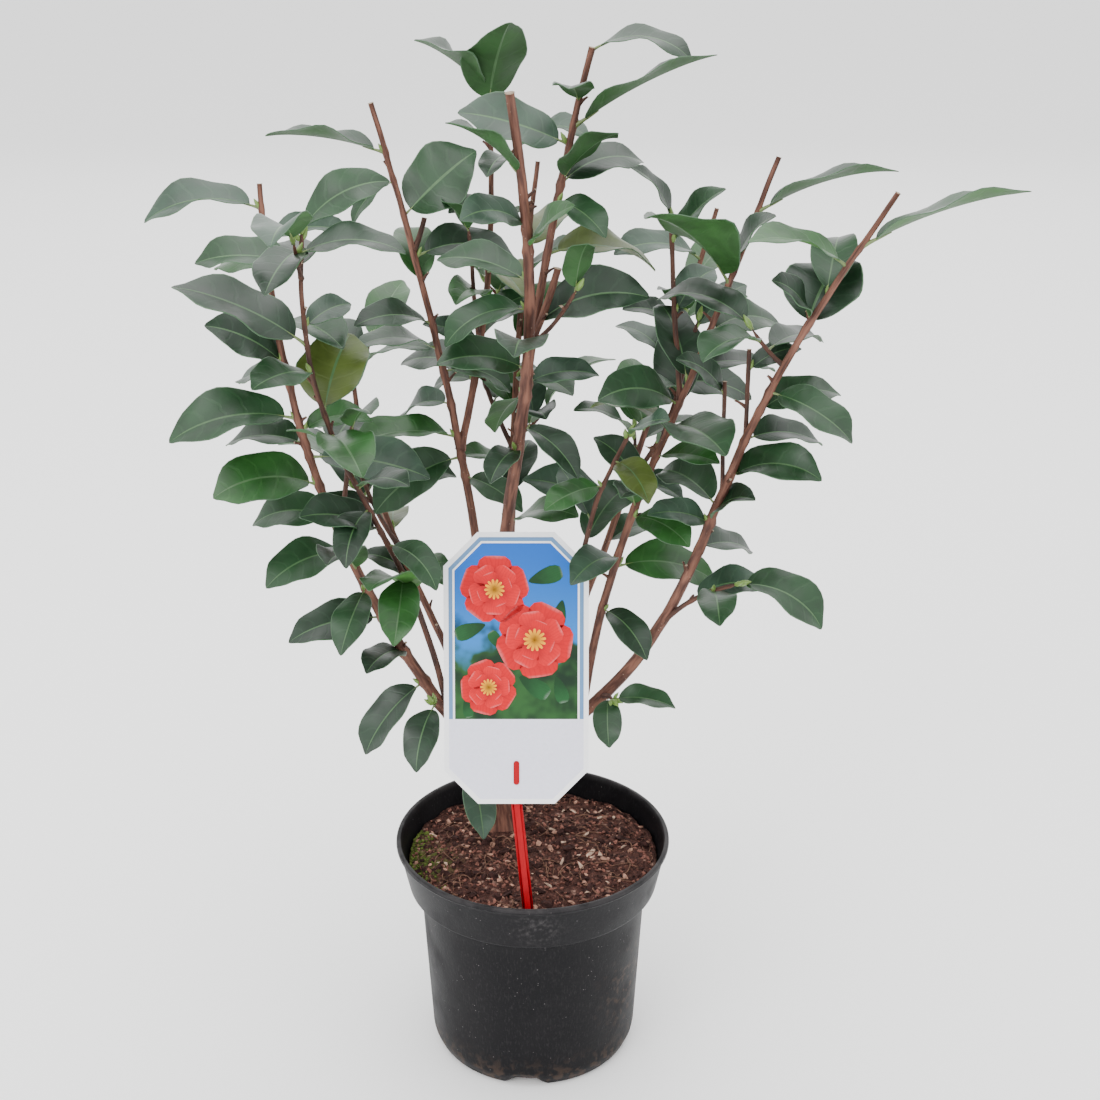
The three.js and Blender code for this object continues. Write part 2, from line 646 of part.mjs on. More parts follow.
function soilSolid(label) {
  const inset = GAP + POT.wall + SOIL.slack;
  const edge = mix(POT.collarFootRadius, POT.rimRadius - 2, 0.5) - inset;
  const profile = [
    [0, POT.wall + GAP], [POT.baseRadius - inset, POT.wall + GAP],
    [POT.wallFootRadius - inset, POT.footRound + 1], [POT.wallTopRadius - inset, POT.wallTop + 2],
    [POT.collarFootRadius - inset, POT.collarFoot + 2],
  ];
  for (let ring = SOIL.rings; ring >= 0; ring -= 1) profile.push([(edge * ring) / SOIL.rings, SOIL.level]);
  const geometry = new THREE.LatheGeometry(
    profile.map(([radius, height]) => new THREE.Vector2(radius, height)),
    POT.sides,
  ).rotateX(Math.PI / 2);
  const place = geometry.attributes.position;
  for (let i = 0; i < place.count; i += 1) {
    if (Math.abs(place.getZ(i) - SOIL.level) < 1e-3) {
      const radius = Math.hypot(place.getX(i), place.getY(i));
      place.setZ(i, soilHeight(radius / edge, radius > 1e-6 ? Math.atan2(place.getY(i), place.getX(i)) : 0));
    }
  }
  return solidOf(geometry).subtract(trunkSolid(GAP)).subtract(label);
}

// The label's own frame: origin at the stem's foot, X across the card, Z up along the stem.
const labelPlace = new THREE.Matrix4().makeTranslation(...LABEL.foot)
  .multiply(new THREE.Matrix4().makeRotationX(rad(-LABEL.lean)))
  .multiply(new THREE.Matrix4().makeRotationY(rad(LABEL.tilt)));

// The card stands straight although its stem leans to the side.
const cardPlace = labelPlace.clone()
  .multiply(new THREE.Matrix4().makeTranslation(0, 0, LABEL.cardUp))
  .multiply(new THREE.Matrix4().makeRotationY(rad(-LABEL.tilt)));

function cardSolid() {
  const { width, height, corner } = LABEL;
  const outline = new THREE.Shape([
    [-width / 2 + corner, 0], [width / 2 - corner, 0], [width / 2, corner],
    [width / 2, height - corner], [width / 2 - corner, height], [-width / 2 + corner, height],
    [-width / 2, height - corner], [-width / 2, corner],
  ].map(([x, z]) => new THREE.Vector2(x, z)));
  const half = LABEL.slotWidth / 2;
  const low = LABEL.slotUp;
  const high = LABEL.slotUp + LABEL.slotLength;
  outline.holes.push(new THREE.Path([
    [-half, low], [-half, high], [half, high], [half, low],
  ].map(([x, z]) => new THREE.Vector2(x, z))));
  const geometry = new THREE.ExtrudeGeometry(outline, { depth: LABEL.card, bevelEnabled: false })
    .rotateX(Math.PI / 2).applyMatrix4(cardPlace);
  return solidOf(geometry);
}

// The stem runs from the soil up behind the card's slot. More widens it all over.
function labelStemSolid(more) {
  const length = LABEL.cardUp + LABEL.slotUp + LABEL.slotLength + 6;
  const behind = LABEL.stemDepth / 2 + GAP;
  const place = labelPlace.clone().multiply(new THREE.Matrix4().makeTranslation(0, behind, length / 2));
  return box(LABEL.stemWidth + 2 * more, LABEL.stemDepth + 2 * more, length + 2 * more, place);
}

function claimLabel() {
  const STEP = 12;
  const ROOM = 8;
  for (let x = -LABEL.width / 2; x <= LABEL.width / 2; x += STEP) {
    for (let z = 0; z <= LABEL.height; z += STEP) {
      const point = new THREE.Vector3(x, 0, z).applyMatrix4(cardPlace);
      taken.push({ owner: 'label', point, room: ROOM, ownRoom: ROOM });
    }
  }
}

// ---------------------------------------------------------------------------------------------
// Assembly
// ---------------------------------------------------------------------------------------------

// A bough, cut clear of the limbs that already stand. It ends a gap below its mass.
function boughSolid(stem, standing) {
  const end = stem.split - GAP / stem.curve.getLength();
  return mainBody(limb(stem.curve, 0, end, taper(stem.radii), LIMB_SIDES).subtract(standing));
}

// A mass, cut clear of every limb but the one that it grows on from.
function foliageSolid({ stem, carriers, leaves }, standing) {
  const pieces = carriers.map((carrier) => (carrier === stem
    ? limb(stem.curve, stem.split, 1, taper(stem.radii), LIMB_SIDES)
    : limb(carrier.curve, 0, 1, taper(carrier.radii), TWIG_SIDES)));
  for (const { leaf, sunk } of leaves) pieces.push(leafSolid(leaf, sunk));
  return wasm.Manifold.union(pieces).subtract(standing);
}

const shrub = new THREE.Group();
const plant = new THREE.Group();
const potted = new THREE.Group();
shrub.add(potted, plant);

potted.add(node('pot', potSolid(), MATERIALS.pot));
potted.add(node('soil', soilSolid(labelStemSolid(GAP)), MATERIALS.soil));
potted.add(node('label_card', cardSolid(), MATERIALS.card));
potted.add(node('label_stem', labelStemSolid(0), MATERIALS.stem));

plant.add(node('trunk', trunkSolid(0), MATERIALS.bark));

// The room that each limb keeps round it, by the name of its stem.
const rooms = new Map([['trunk', trunkSolid(GAP)]]);
for (const stem of STEMS.filter(({ split }) => split > 0)) {
  const standing = wasm.Manifold.union([...rooms.values()]);
  plant.add(node(`${stem.name}_bough`, boughSolid(stem, standing), MATERIALS.bark));
  rooms.set(stem.name, limb(stem.curve, 0, stem.split, taper(stem.radii, GAP), LIMB_SIDES));
}
for (const mass of growFoliage()) {
  const others = [...rooms].filter(([name]) => name !== mass.stem.name).map(([, room]) => room);
  const solid = foliageSolid(mass, wasm.Manifold.union(others));
  plant.add(node(`${mass.stem.name}_foliage`, solid, MATERIALS.leaf));
}

export default shrub;
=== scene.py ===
"""A camellia shrub in its nursery pot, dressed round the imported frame.

The shrub grows here by the same rule and from the same table of stems as its solids do, with
finer stems, leaves, stalks and buds. Sizes are millimetres, and a finished mesh is scaled to
metres once.
"""
import logging
import math
from dataclasses import dataclass, field, replace
from enum import Enum
from typing import Any, Callable, Iterable, Sequence

import bmesh
import bpy
import numpy as np
from mathutils import Matrix, Vector, noise


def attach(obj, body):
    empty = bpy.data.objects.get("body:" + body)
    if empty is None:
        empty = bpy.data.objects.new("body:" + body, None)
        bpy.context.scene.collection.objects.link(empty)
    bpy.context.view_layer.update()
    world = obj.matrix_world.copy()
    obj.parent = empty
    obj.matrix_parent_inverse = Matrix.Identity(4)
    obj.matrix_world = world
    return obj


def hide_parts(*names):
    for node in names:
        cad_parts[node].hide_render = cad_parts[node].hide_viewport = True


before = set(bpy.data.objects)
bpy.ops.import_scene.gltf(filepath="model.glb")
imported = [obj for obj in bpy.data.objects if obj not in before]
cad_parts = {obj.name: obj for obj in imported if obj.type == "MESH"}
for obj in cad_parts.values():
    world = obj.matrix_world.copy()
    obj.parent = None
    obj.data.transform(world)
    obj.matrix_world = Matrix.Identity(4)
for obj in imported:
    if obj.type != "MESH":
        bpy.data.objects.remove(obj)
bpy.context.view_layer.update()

MM = 0.001
BODY = "root"
RIGHT, BACK, UP = Vector((1, 0, 0)), Vector((0, 1, 0)), Vector((0, 0, 1))
STRAIGHTENED = "straightened"

Colour = tuple[float, float, float]
Row = tuple[float, ...]

log = logging.getLogger("shrub")


# ---- Small helpers ----

def mix(low: float, high: float, share: float) -> float:
    """The number a share of the way from low to high."""
    return low + (high - low) * share


def smooth(low: float, high: float, value: float) -> float:
    """An even S-shaped step from 0 at low to 1 at high."""
    share = min(1.0, max(0.0, (value - low) / (high - low)))
    return share * share * (3 - 2 * share)


def bump_at(value: float, middle: float, reach: float) -> float:
    """A soft bump of height 1 at middle that fades over reach."""
    return math.exp(-((value - middle) / reach) ** 2)


def shade(colour: Colour, share: float) -> Colour:
    """The colour made lighter or darker by a share."""
    return tuple(part * share for part in colour)


def mixed(colour: Colour, white: float) -> Colour:
    """A colour mixed with a share of white."""
    return tuple(mix(part, 1.0, white) for part in colour)


class Chance:
    """Park and Miller's generator, which gives the same numbers on every machine."""

    MODULUS = 2147483647
    FACTOR = 16807
    WARM_UP = 8

    def __init__(self, seed: int) -> None:
        """Starts the generator.

        Args:
            seed: A whole number, the same for the same plant.
        """
        self.state = seed % self.MODULUS
        for _ in range(self.WARM_UP):
            self.share()

    def share(self) -> float:
        """The next number from 0 to 1."""
        self.state = (self.state * self.FACTOR) % self.MODULUS
        return self.state / self.MODULUS

    def between(self, low: float, high: float) -> float:
        """The next number from low to high."""
        return mix(low, high, self.share())

    def pick(self, weights: Sequence[float]) -> int:
        """Chooses one of several things.

        Args:
            weights: How likely each one is, in any unit.

        Returns:
            The place of the chosen one.
        """
        left = self.share() * sum(weights)
        for place, weight in enumerate(weights):
            left -= weight
            if left <= 0:
                return place
        return len(weights) - 1


# ---- Shader maths ----

class Sock:
    """A node's output that ordinary sums work on."""

    def __init__(self, shader: "Shader", socket: bpy.types.NodeSocket) -> None:
        """Wraps a socket of the shader's tree."""
        self.shader = shader
        self.socket = socket

    def maths(self, operation: str, first: Any, second: Any = 0.0) -> "Sock":
        """The result of one Math node on numbers or Socks."""
        return self.shader.make("ShaderNodeMath", {"operation": operation}, {0: first, 1: second})

    def __add__(self, other: Any) -> "Sock":
        """Self plus other."""
        return self.maths("ADD", self, other)

    __radd__ = __add__

    def __sub__(self, other: Any) -> "Sock":
        """Self less other."""
        return self.maths("SUBTRACT", self, other)

    def __rsub__(self, other: Any) -> "Sock":
        """Other less self."""
        return self.maths("SUBTRACT", other, self)

    def __mul__(self, other: Any) -> "Sock":
        """Self times other."""
        return self.maths("MULTIPLY", self, other)

    def __abs__(self) -> "Sock":
        """Self without its sign."""
        return self.maths("ABSOLUTE", self)

    def sine(self) -> "Sock":
        """The sine of self."""
        return self.maths("SINE", self)

    def step(self, low: float, high: float) -> "Sock":
        """A smooth step of self.

        Args:
            low: Where the result is 0.
            high: Where it is 1, above or below low.

        Returns:
            The step, from 0 to 1.
        """
        if low > high:
            return 1 - self.step(high, low)
        settings = {"interpolation_type": "SMOOTHSTEP"}
        return self.shader.make("ShaderNodeMapRange", settings, {0: self, 1: low, 2: high})


class Shader:
    """Builds one material's nodes round its Principled shader."""

    # The places of a Mix node's colour sockets, which share their names with its other sockets.
    COLOUR_A, COLOUR_B, COLOUR_OUT = 6, 7, 2

    def __init__(self, name: str, attribute: str = "") -> None:
        """Makes an empty material.

        Args:
            name: The material's name.
            attribute: The piece's own attribute that gives each point's place, if it has one.
        """
        self.attribute = attribute
        self.material = bpy.data.materials.new(name)
        self.material.use_nodes = True
        self.tree = self.material.node_tree
        self.surface = self.tree.nodes["Principled BSDF"]

    def feed(self, socket: bpy.types.NodeSocket, value: Any) -> None:
        """Sets a socket to a plain value, or links a Sock to it.

        Args:
            socket: The node's input.
            value: A Sock, number, colour, vector or option.
        """
        if isinstance(value, Sock):
            self.tree.links.new(value.socket, socket)
        elif isinstance(value, tuple) and len(value) == 3 and len(socket.default_value) == 4:
            socket.default_value = (*value, 1.0)
        else:
            socket.default_value = value

    def make(
        self, kind: str, settings: dict[str, Any], sockets: dict[Any, Any], out: Any = 0
    ) -> Sock:
        """Adds any node.

        Args:
            kind: The node's type.
            settings: Its settings, which are set first.
            sockets: Values or links, by the socket's name or place.
            out: The name or place of the output that is wanted.

        Returns:
            That output.
        """
        node = self.tree.nodes.new(kind)
        for name, value in settings.items():
            setattr(node, name, value)
        for name, value in sockets.items():
            self.feed(node.inputs[name], value)
        return Sock(self, node.outputs[out])

    def place(self) -> Sock:
        """The surface's point in metres, in the row's frame or as its own attribute gives it.

        Returns:
            The point.
        """
        if self.attribute:
            settings = {"attribute_name": self.attribute}
            return self.make("ShaderNodeAttribute", settings, {}, "Vector")
        return self.make("ShaderNodeTexCoord", {}, {}, "Object")

    def across_along(self) -> tuple[Sock, Sock]:
        """A piece's own map, from side to side and from end to end, each from 0 to 1.

        Returns:
            The share across the piece, and the share along it.
        """
        both = self.make("ShaderNodeUVMap", {"uv_map": "own"}, {})
        parts = self.make("ShaderNodeSeparateXYZ", {}, {0: both}, "X")
        return parts, Sock(self, parts.socket.node.outputs["Y"])

    def height(self) -> Sock:
        """The surface's height in metres."""
        return self.make("ShaderNodeSeparateXYZ", {}, {0: self.place()}, "Z")

    def near(self, point: Vector, reach: float) -> Sock:
        """How near the surface is to a point.

        Args:
            point: The point, in millimetres.
            reach: The distance at which the result falls to 0, in millimetres.

        Returns:
            1 at the point, falling to 0.
        """
        sockets = {0: self.place(), 1: tuple(point * MM)}
        away = self.make("ShaderNodeVectorMath", {"operation": "DISTANCE"}, sockets, "Value")
        return away.step(reach * MM, 0.0)

    def grain(self, size: float, detail: float = 2.0, stretch: Vector = Vector((1, 1, 1))) -> Sock:
        """Soft noise in the solid.

        Args:
            size: The size of its patches in millimetres.
            detail: How many finer layers it has.
            stretch: How many times closer together the patches lie along each axis.

        Returns:
            Noise round 0.5.
        """
        drawn = {"Vector": self.place(), "Scale": tuple(stretch)}
        turned = self.make("ShaderNodeMapping", {}, drawn)
        sockets = {"Vector": turned, "Scale": 1 / (size * MM), "Detail": detail}
        return self.make("ShaderNodeTexNoise", {}, sockets)

    def crumbs(self, size: float, out: str = "Color") -> Sock:
        """Cells of a size in millimetres: a random Color each, or Distance from their middles."""
        sockets = {"Vector": self.place(), "Scale": 1 / (size * MM)}
        return self.make("ShaderNodeTexVoronoi", {}, sockets, out)

    def blend(self, share: Any, first: Any, second: Any) -> Sock:
        """Two colours or Socks mixed, with a share of the second."""
        sockets = {0: share, self.COLOUR_A: first, self.COLOUR_B: second}
        return self.make("ShaderNodeMix", {"data_type": "RGBA"}, sockets, self.COLOUR_OUT)

    def tones(self, share: Any, colour: Colour, dark: float, light: float) -> Sock:
        """One colour that a pattern makes darker or lighter."""
        return self.blend(share, shade(colour, dark), shade(colour, light))

    def relief(self, height: Sock, depth: float, strength: float = 1.0) -> Sock:
        """The normal bumped by a height, of which 1 stands for a depth in millimetres."""
        sockets = {"Height": height, "Distance": depth * MM, "Strength": strength}
        return self.make("ShaderNodeBump", {}, sockets)

    def finish(self, **sockets: Any) -> bpy.types.Material:
        """Feeds the Principled shader.

        Args:
            **sockets: Values or links, named as its sockets with _ for a space.

        Returns:
            The finished material.
        """
        for name, value in sockets.items():
            self.feed(self.surface.inputs[name.replace("_", " ")], value)
        return self.material


# ---- Finishes ----

@dataclass(frozen=True)
class BladeFinish:
    """One side of a leaf: leathery, with side veins that arch towards its tip."""

    name: str
    colour: Colour
    vein: Colour
    roughness: float
    gloss: float
    veins: float = 8.0
    vein_depth: float = 0.2
    vein_share: float = 0.16

    def material(self) -> bpy.types.Material:
        """The blade's material.

        Returns:
            The finished material.
        """
        shader = Shader(self.name)
        across, along = shader.across_along()
        aside = abs(across * 2 - 1)
        bent = along - aside * aside * 0.2 + shader.grain(11.0) * 0.09
        vein = (bent * (self.veins * math.tau)).sine().step(0.78, 1.0)
        vein = vein * aside.step(0.95, 0.5)
        mottle = shader.grain(17.0, 4.0).step(0.3, 0.7)
        green = shader.tones(mottle, self.colour, 0.75, 1.25)
        return shader.finish(
            Base_Color=shader.blend(vein * self.vein_share, green, self.vein),
            Roughness=self.roughness + mottle * 0.14,
            Normal=shader.relief(mottle - vein * 0.6, self.vein_depth, 0.5),
            Coat_Weight=self.gloss,
            Coat_Roughness=0.27,
            Specular_IOR_Level=0.4,
        )


@dataclass(frozen=True)
class Mottled:
    """A midrib, margin, stalk, bud or sawn end: one colour that shifts a little along it."""

    name: str
    colour: Colour
    roughness: float = 0.42
    patch: float = 5.0
    detail: float = 2.0
    dark: float = 0.8
    light: float = 1.25

    def material(self) -> bpy.types.Material:
        """The mottled material.

        Returns:
            The finished material.
        """
        shader = Shader(self.name)
        mottle = shader.grain(self.patch, self.detail)
        colour = shader.tones(mottle, self.colour, self.dark, self.light)
        return shader.finish(Base_Color=colour, Roughness=self.roughness)


@dataclass(frozen=True)
class Bark:
    """Thin smooth bark, drawn out along the stem, with pale pores and darker seams."""

    name: str
    light: Colour
    dark: Colour
    pore: Colour = (0.33, 0.23, 0.17)
    roughness: float = 0.62

    def material(self) -> bpy.types.Material:
        """The bark's material.

        Returns:
            The finished material.
        """
        shader = Shader(self.name, STRAIGHTENED)
        drawn = Vector((1, 1, 0.13))
        streak = shader.grain(2.2, 4.0, drawn).step(0.32, 0.68)
        patch = shader.grain(26.0, 2.0).step(0.35, 0.65)
        pore = shader.crumbs(3.4, "Distance").step(0.16, 0.05)
        pore = pore * shader.grain(9.0, 1.0).step(0.5, 0.62)
        bark = shader.blend(streak, self.dark, self.light)
        bark = shader.blend(patch * 0.35, bark, shade(self.dark, 0.75))
        return shader.finish(
            Base_Color=shader.blend(pore * 0.8, bark, self.pore),
            Roughness=self.roughness + streak * 0.15,
            Normal=shader.relief(streak + pore, 0.35, 0.8),
            Specular_IOR_Level=0.28,
        )


@dataclass(frozen=True)
class PotPlastic:
    """Black moulded plastic with a film of dust, pale specks, soil splashed on its foot, and a
    painted highlight along the top of its lip.
    """

    name: str = "pot_plastic"
    colour: Colour = (0.0028, 0.0026, 0.0036)
    # The dust's colour, which also paints the highlight along the lip.
    dust_and_highlight: Colour = (0.085, 0.078, 0.08)
    earth: Colour = (0.075, 0.045, 0.03)
    rubbed: Vector = Vector((4, -92, 143))
    rubbed_reach: float = 26.0
    splash: Vector = Vector((66, -30, 60))
    splash_reach: float = 52.0
    muddy: float = 0.03
    # The heights in metres of the band at the top of the lip that gets a painted highlight.
    lip: tuple[float, float] = (0.1555, 0.16)

    def material(self) -> bpy.types.Material:
        """The pot's material.

        Returns:
            The finished material.
        """
        shader = Shader(self.name)
        film = shader.grain(34.0, 5.0).step(0.42, 0.8)
        scuff = shader.near(self.rubbed, self.rubbed_reach)
        scuff = scuff * shader.grain(3.0, 4.0).step(0.45, 0.75)
        speck = shader.crumbs(3.2, "Distance").step(0.14, 0.05)
        speck = speck * shader.grain(9.0, 2.0).step(0.52, 0.6)
        streak = shader.grain(1.1, 4.0, Vector((1, 1, 0.3))).step(0.5, 0.75)
        foot = shader.height().step(self.muddy, 0.0) * shader.grain(6.0, 5.0).step(0.46, 0.62)
        splash = shader.near(self.splash, self.splash_reach)
        splash = splash * shader.grain(5.0, 5.0).step(0.5, 0.66)
        colour = shader.blend(film * 0.06 + streak * 0.1, self.colour, self.dust_and_highlight)
        # Painted highlight: the top of the lip is lightened with the dust colour.
        painted_lip_highlight = shader.height().step(*self.lip) * shader.grain(14.0, 4.0).step(0.25, 0.6)
        colour = shader.blend(scuff * 0.5 + painted_lip_highlight * 0.3, colour, self.dust_and_highlight)
        colour = shader.blend(foot * 0.55, colour, self.earth)
        colour = shader.blend(splash * 0.5, colour, self.earth)
        colour = shader.blend(speck * 0.75, colour, shade(self.dust_and_highlight, 2.2))
        return shader.finish(
            Base_Color=colour,
            Roughness=0.46 + film * 0.2 + scuff * 0.2,
            Normal=shader.relief(shader.grain(1.6, 3.0), 0.16, 0.6),
            Specular_IOR_Level=0.14,
        )


@dataclass(frozen=True)
class Compost:
    """Moist peat with crumbs of bark, painted shade in the crevices between the crumbs, and moss
    on the side away from the light.
    """

    name: str = "compost"
    # The darkest peat, which also paints the shade in the crevices.
    dark: Colour = (0.027, 0.0125, 0.0108)
    brown: Colour = (0.14, 0.06, 0.046)
    pale: Colour = (0.34, 0.2, 0.155)
    moss: Colour = (0.075, 0.12, 0.02)
    mossy: Vector = Vector((-76, -12, 143))
    mossy_reach: float = 34.0
    cell: float = 2.6

    def material(self) -> bpy.types.Material:
        """The compost's material.

        Returns:
            The finished material.
        """
        shader = Shader(self.name)
        lump = shader.grain(6.0, 5.0).step(0.3, 0.7)
        crumb = shader.crumbs(self.cell)
        crevice_shade_and_depth = shader.crumbs(self.cell, "Distance").step(0.0, 0.75)
        chosen = shader.make("ShaderNodeSeparateXYZ", {}, {0: crumb}, "X")
        colour = shader.blend(chosen, self.dark, self.brown)
        colour = shader.blend(lump * 0.6, colour, self.brown)
        colour = shader.blend(chosen.step(0.9, 0.97) * 0.8, colour, self.pale)
        # Painted shade: the crevices between the crumbs are darkened.
        colour = shader.blend(crevice_shade_and_depth * 0.65, colour, self.dark)
        green = shader.near(self.mossy, self.mossy_reach) * shader.grain(4.0, 4.0).step(0.44, 0.56)
        return shader.finish(
            Base_Color=shader.blend(green * 0.85, colour, self.moss),
            Roughness=0.93,
            Normal=shader.relief(lump + (1 - crevice_shade_and_depth), 1.4, 1.0),
            Specular_IOR_Level=0.12,
        )


@dataclass(frozen=True)
class Crumb:
    """Loose bits on the compost: one colour that varies with its place."""

    name: str
    colour: Colour

    def material(self) -> bpy.types.Material:
        """The bits' material.

        Returns:
            The finished material.
        """
        shader = Shader(self.name)
        tone = shader.grain(3.0, 4.0).step(0.3, 0.7)
        colour = shader.tones(tone, self.colour, 0.5, 1.3)
        return shader.finish(
            Base_Color=colour, Roughness=0.88, Normal=shader.relief(tone, 0.4, 0.8),
            Specular_IOR_Level=0.16,
        )


def inked(shader: Shader, colour: Sock, tone: Sock) -> bpy.types.Material:
    """Finishes printed ink: a colour under a thin clear film.

    Args:
        shader: The material so far.
        colour: The ink's colour.
        tone: How uneven the film is.

    Returns:
        The finished material.
    """
    return shader.finish(
        Base_Color=colour, Roughness=0.38 + tone * 0.08, Coat_Weight=0.06, Specular_IOR_Level=0.2
    )


@dataclass(frozen=True)
class Print:
    """Ink on the label: one colour under a thin clear film, a little worn."""

    name: str
    colour: Colour
    wear: float = 0.06
    size: float = 9.0

    def material(self) -> bpy.types.Material:
        """The ink's material.

        Returns:
            The finished material.
        """
        shader = Shader(self.name)
        tone = shader.grain(self.size, 3.0)
        colour = shader.tones(tone, self.colour, 1 - self.wear, 1 + self.wear)
        return inked(shader, colour, tone)


@dataclass(frozen=True)
class Petal:
    """A printed petal or leaf: deep at its foot, pale along its rim, and finely veined."""

    name: str
    colour: Colour
    veins: float = 9.0

    def material(self) -> bpy.types.Material:
        """The print's material.

        Returns:
            The finished material.
        """
        shader = Shader(self.name)
        out, side = shader.across_along()
        tone = shader.grain(5.0, 3.0)
        lines = ((side + tone * 0.12) * (self.veins * math.tau)).sine().step(0.1, 1.0)
        glow = (out + tone * 0.5).step(0.35, 1.15)
        colour = shader.tones(glow, self.colour, 0.5, 1.1)
        colour = shader.blend(out.step(0.86, 1.0) * 0.35, colour, mixed(self.colour, 0.3))
        colour = shader.blend(lines * 0.22, colour, shade(self.colour, 0.6))
        return inked(shader, colour, tone)


@dataclass(frozen=True)
class PrintedSky:
    """The picture's ground: sky that turns to blurred foliage further down."""

    name: str
    low: float
    high: float
    sky: Colour = (0.004, 0.11, 0.5)
    haze: Colour = (0.03, 0.24, 0.6)
    leaves: Colour = (0.005, 0.022, 0.009)
    glade: Colour = (0.022, 0.085, 0.02)

    def material(self) -> bpy.types.Material:
        """The ground's material, which fades from low to high in metres.

        Returns:
            The finished material.
        """
        shader = Shader(self.name)
        rise = shader.height().step(self.low, self.high)
        blur = shader.grain(16.0, 2.0).step(0.35, 0.65)
        wood = shader.blend(blur, self.leaves, self.glade)
        sky = shader.blend(rise, self.haze, self.sky)
        edge = (rise + blur * 0.3).step(0.42, 0.7)
        return inked(shader, shader.blend(edge, wood, sky), blur)


@dataclass(frozen=True)
class GlossPlastic:
    """Bright moulded plastic, lightly scratched along its length."""

    name: str
    colour: Colour

    def material(self) -> bpy.types.Material:
        """The plastic's material.

        Returns:
            The finished material.
        """
        shader = Shader(self.name)
        scratch = shader.grain(1.4, 3.0, Vector((1, 1, 0.08)))
        colour = shader.tones(scratch, self.colour, 0.8, 1.15)
        return shader.finish(
            Base_Color=colour, Roughness=0.34 + scratch * 0.16, Coat_Weight=0.05,
            Normal=shader.relief(scratch, 0.08, 0.5), Specular_IOR_Level=0.16,
        )


@dataclass(frozen=True)
class Paper:
    """The studio's pale floor."""

    name: str = "studio_floor"
    colour: Colour = (0.97, 0.97, 0.97)

    def material(self) -> bpy.types.Material:
        """The floor's material."""
        return Shader(self.name).finish(Base_Color=self.colour, Roughness=0.95)


# ---- Meshes ----

def linked(name: str, data: bpy.types.ID) -> bpy.types.Object:
    """Puts an object with some data into the scene.

    Args:
        name: The object's name.
        data: Its mesh, light or camera.

    Returns:
        The object.
    """
    obj = bpy.data.objects.new(name, data)
    bpy.context.scene.collection.objects.link(obj)
    return obj


def mesh_of(
    bm: bmesh.types.BMesh, name: str, finishes: Sequence[bpy.types.Material]
) -> bpy.types.Mesh:
    """Turns a mesh that is being built into one for an object.

    Args:
        bm: The mesh, which is freed.
        name: The new mesh's name.
        finishes: Its materials, in the order of its faces' numbers.

    Returns:
        The new mesh.
    """
    mesh = bpy.data.meshes.new(name)
    bm.to_mesh(mesh)
    bm.free()
    for finish in finishes:
        mesh.materials.append(finish)
    return mesh


def piece(
    bm: bmesh.types.BMesh, name: str, finishes: Sequence[bpy.types.Material],
    stands_for: Sequence[str] = (), smooth_faces: bool = True,
) -> bpy.types.Object:
    """Turns a mesh in millimetres into a finished piece in metres.

    Args:
        bm: The mesh, which is freed.
        name: The piece's name.
        finishes: Its materials, in the order of its faces' numbers.
        stands_for: The CAD nodes that it replaces.
        smooth_faces: Whether its faces are shaded smooth.

    Returns:
        The piece, riding on the body.
    """
    bmesh.ops.scale(bm, vec=Vector((MM, MM, MM)), verts=bm.verts)
    for face in bm.faces:
        face.smooth = smooth_faces
    obj = linked(name, mesh_of(bm, name, finishes))
    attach(obj, BODY)
    if stands_for:
        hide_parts(*stands_for)
    log.info("%s: %d faces", name, len(obj.data.polygons))
    return obj


def faces_of(verts: Iterable[bmesh.types.BMVert]) -> list[bmesh.types.BMFace]:
    """The faces that meet at some points."""
    return list({face for vert in verts for face in vert.link_faces})


def flanks(ahead: Vector, aside: Vector) -> tuple[Vector, Vector]:
    """Two unit directions square to ahead and to each other, the first square to aside too."""
    side = ahead.cross(aside).normalized()
    return side, side.cross(ahead)


def reach_along(edge: bmesh.types.BMEdge, axis: int) -> float:
    """How far an edge reaches along an axis, which counts from 0 for X."""
    return abs(edge.verts[0].co[axis] - edge.verts[1].co[axis])


def bevel(
    bm: bmesh.types.BMesh, edges: Sequence[bmesh.types.BMEdge], offset: float, segments: int
) -> None:
    """Rounds some edges.

    Args:
        bm: The mesh that holds them.
        edges: The edges.
        offset: How far the rounding reaches on each side.
        segments: How many facets it gets.
    """
    bmesh.ops.bevel(
        bm, geom=edges, offset=offset, segments=segments, profile=0.5, affect="EDGES", material=-1
    )


def ring(
    bm: bmesh.types.BMesh, sides: int, rows: int, number: int = 0
) -> list[bmesh.types.BMVert]:
    """Adds a unit tube, closed at both ends, whose rows lie along Z from 0 to 1.

    Args:
        bm: The mesh to add to.
        sides: Its sides.
        rows: Its lengths of wall.
        number: The material number of its faces.

    Returns:
        Its vertices.
    """
    others = set(bm.verts)
    circle = bmesh.ops.create_circle(bm, segments=sides, radius=1)["verts"]
    loop = list({edge for vert in circle for edge in vert.link_edges})
    bmesh.ops.spin(
        bm, geom=circle + loop, cent=(0, 0, 0), axis=UP, dvec=UP / rows, angle=0, steps=rows
    )
    made = [vert for vert in bm.verts if vert not in others]
    rims = {edge for vert in made for edge in vert.link_edges if len(edge.link_faces) == 1}
    bmesh.ops.holes_fill(bm, edges=list(rims), sides=sides)
    faces = faces_of(made)
    bmesh.ops.recalc_face_normals(bm, faces=faces)
    for face in faces:
        face.material_index = number
    return made


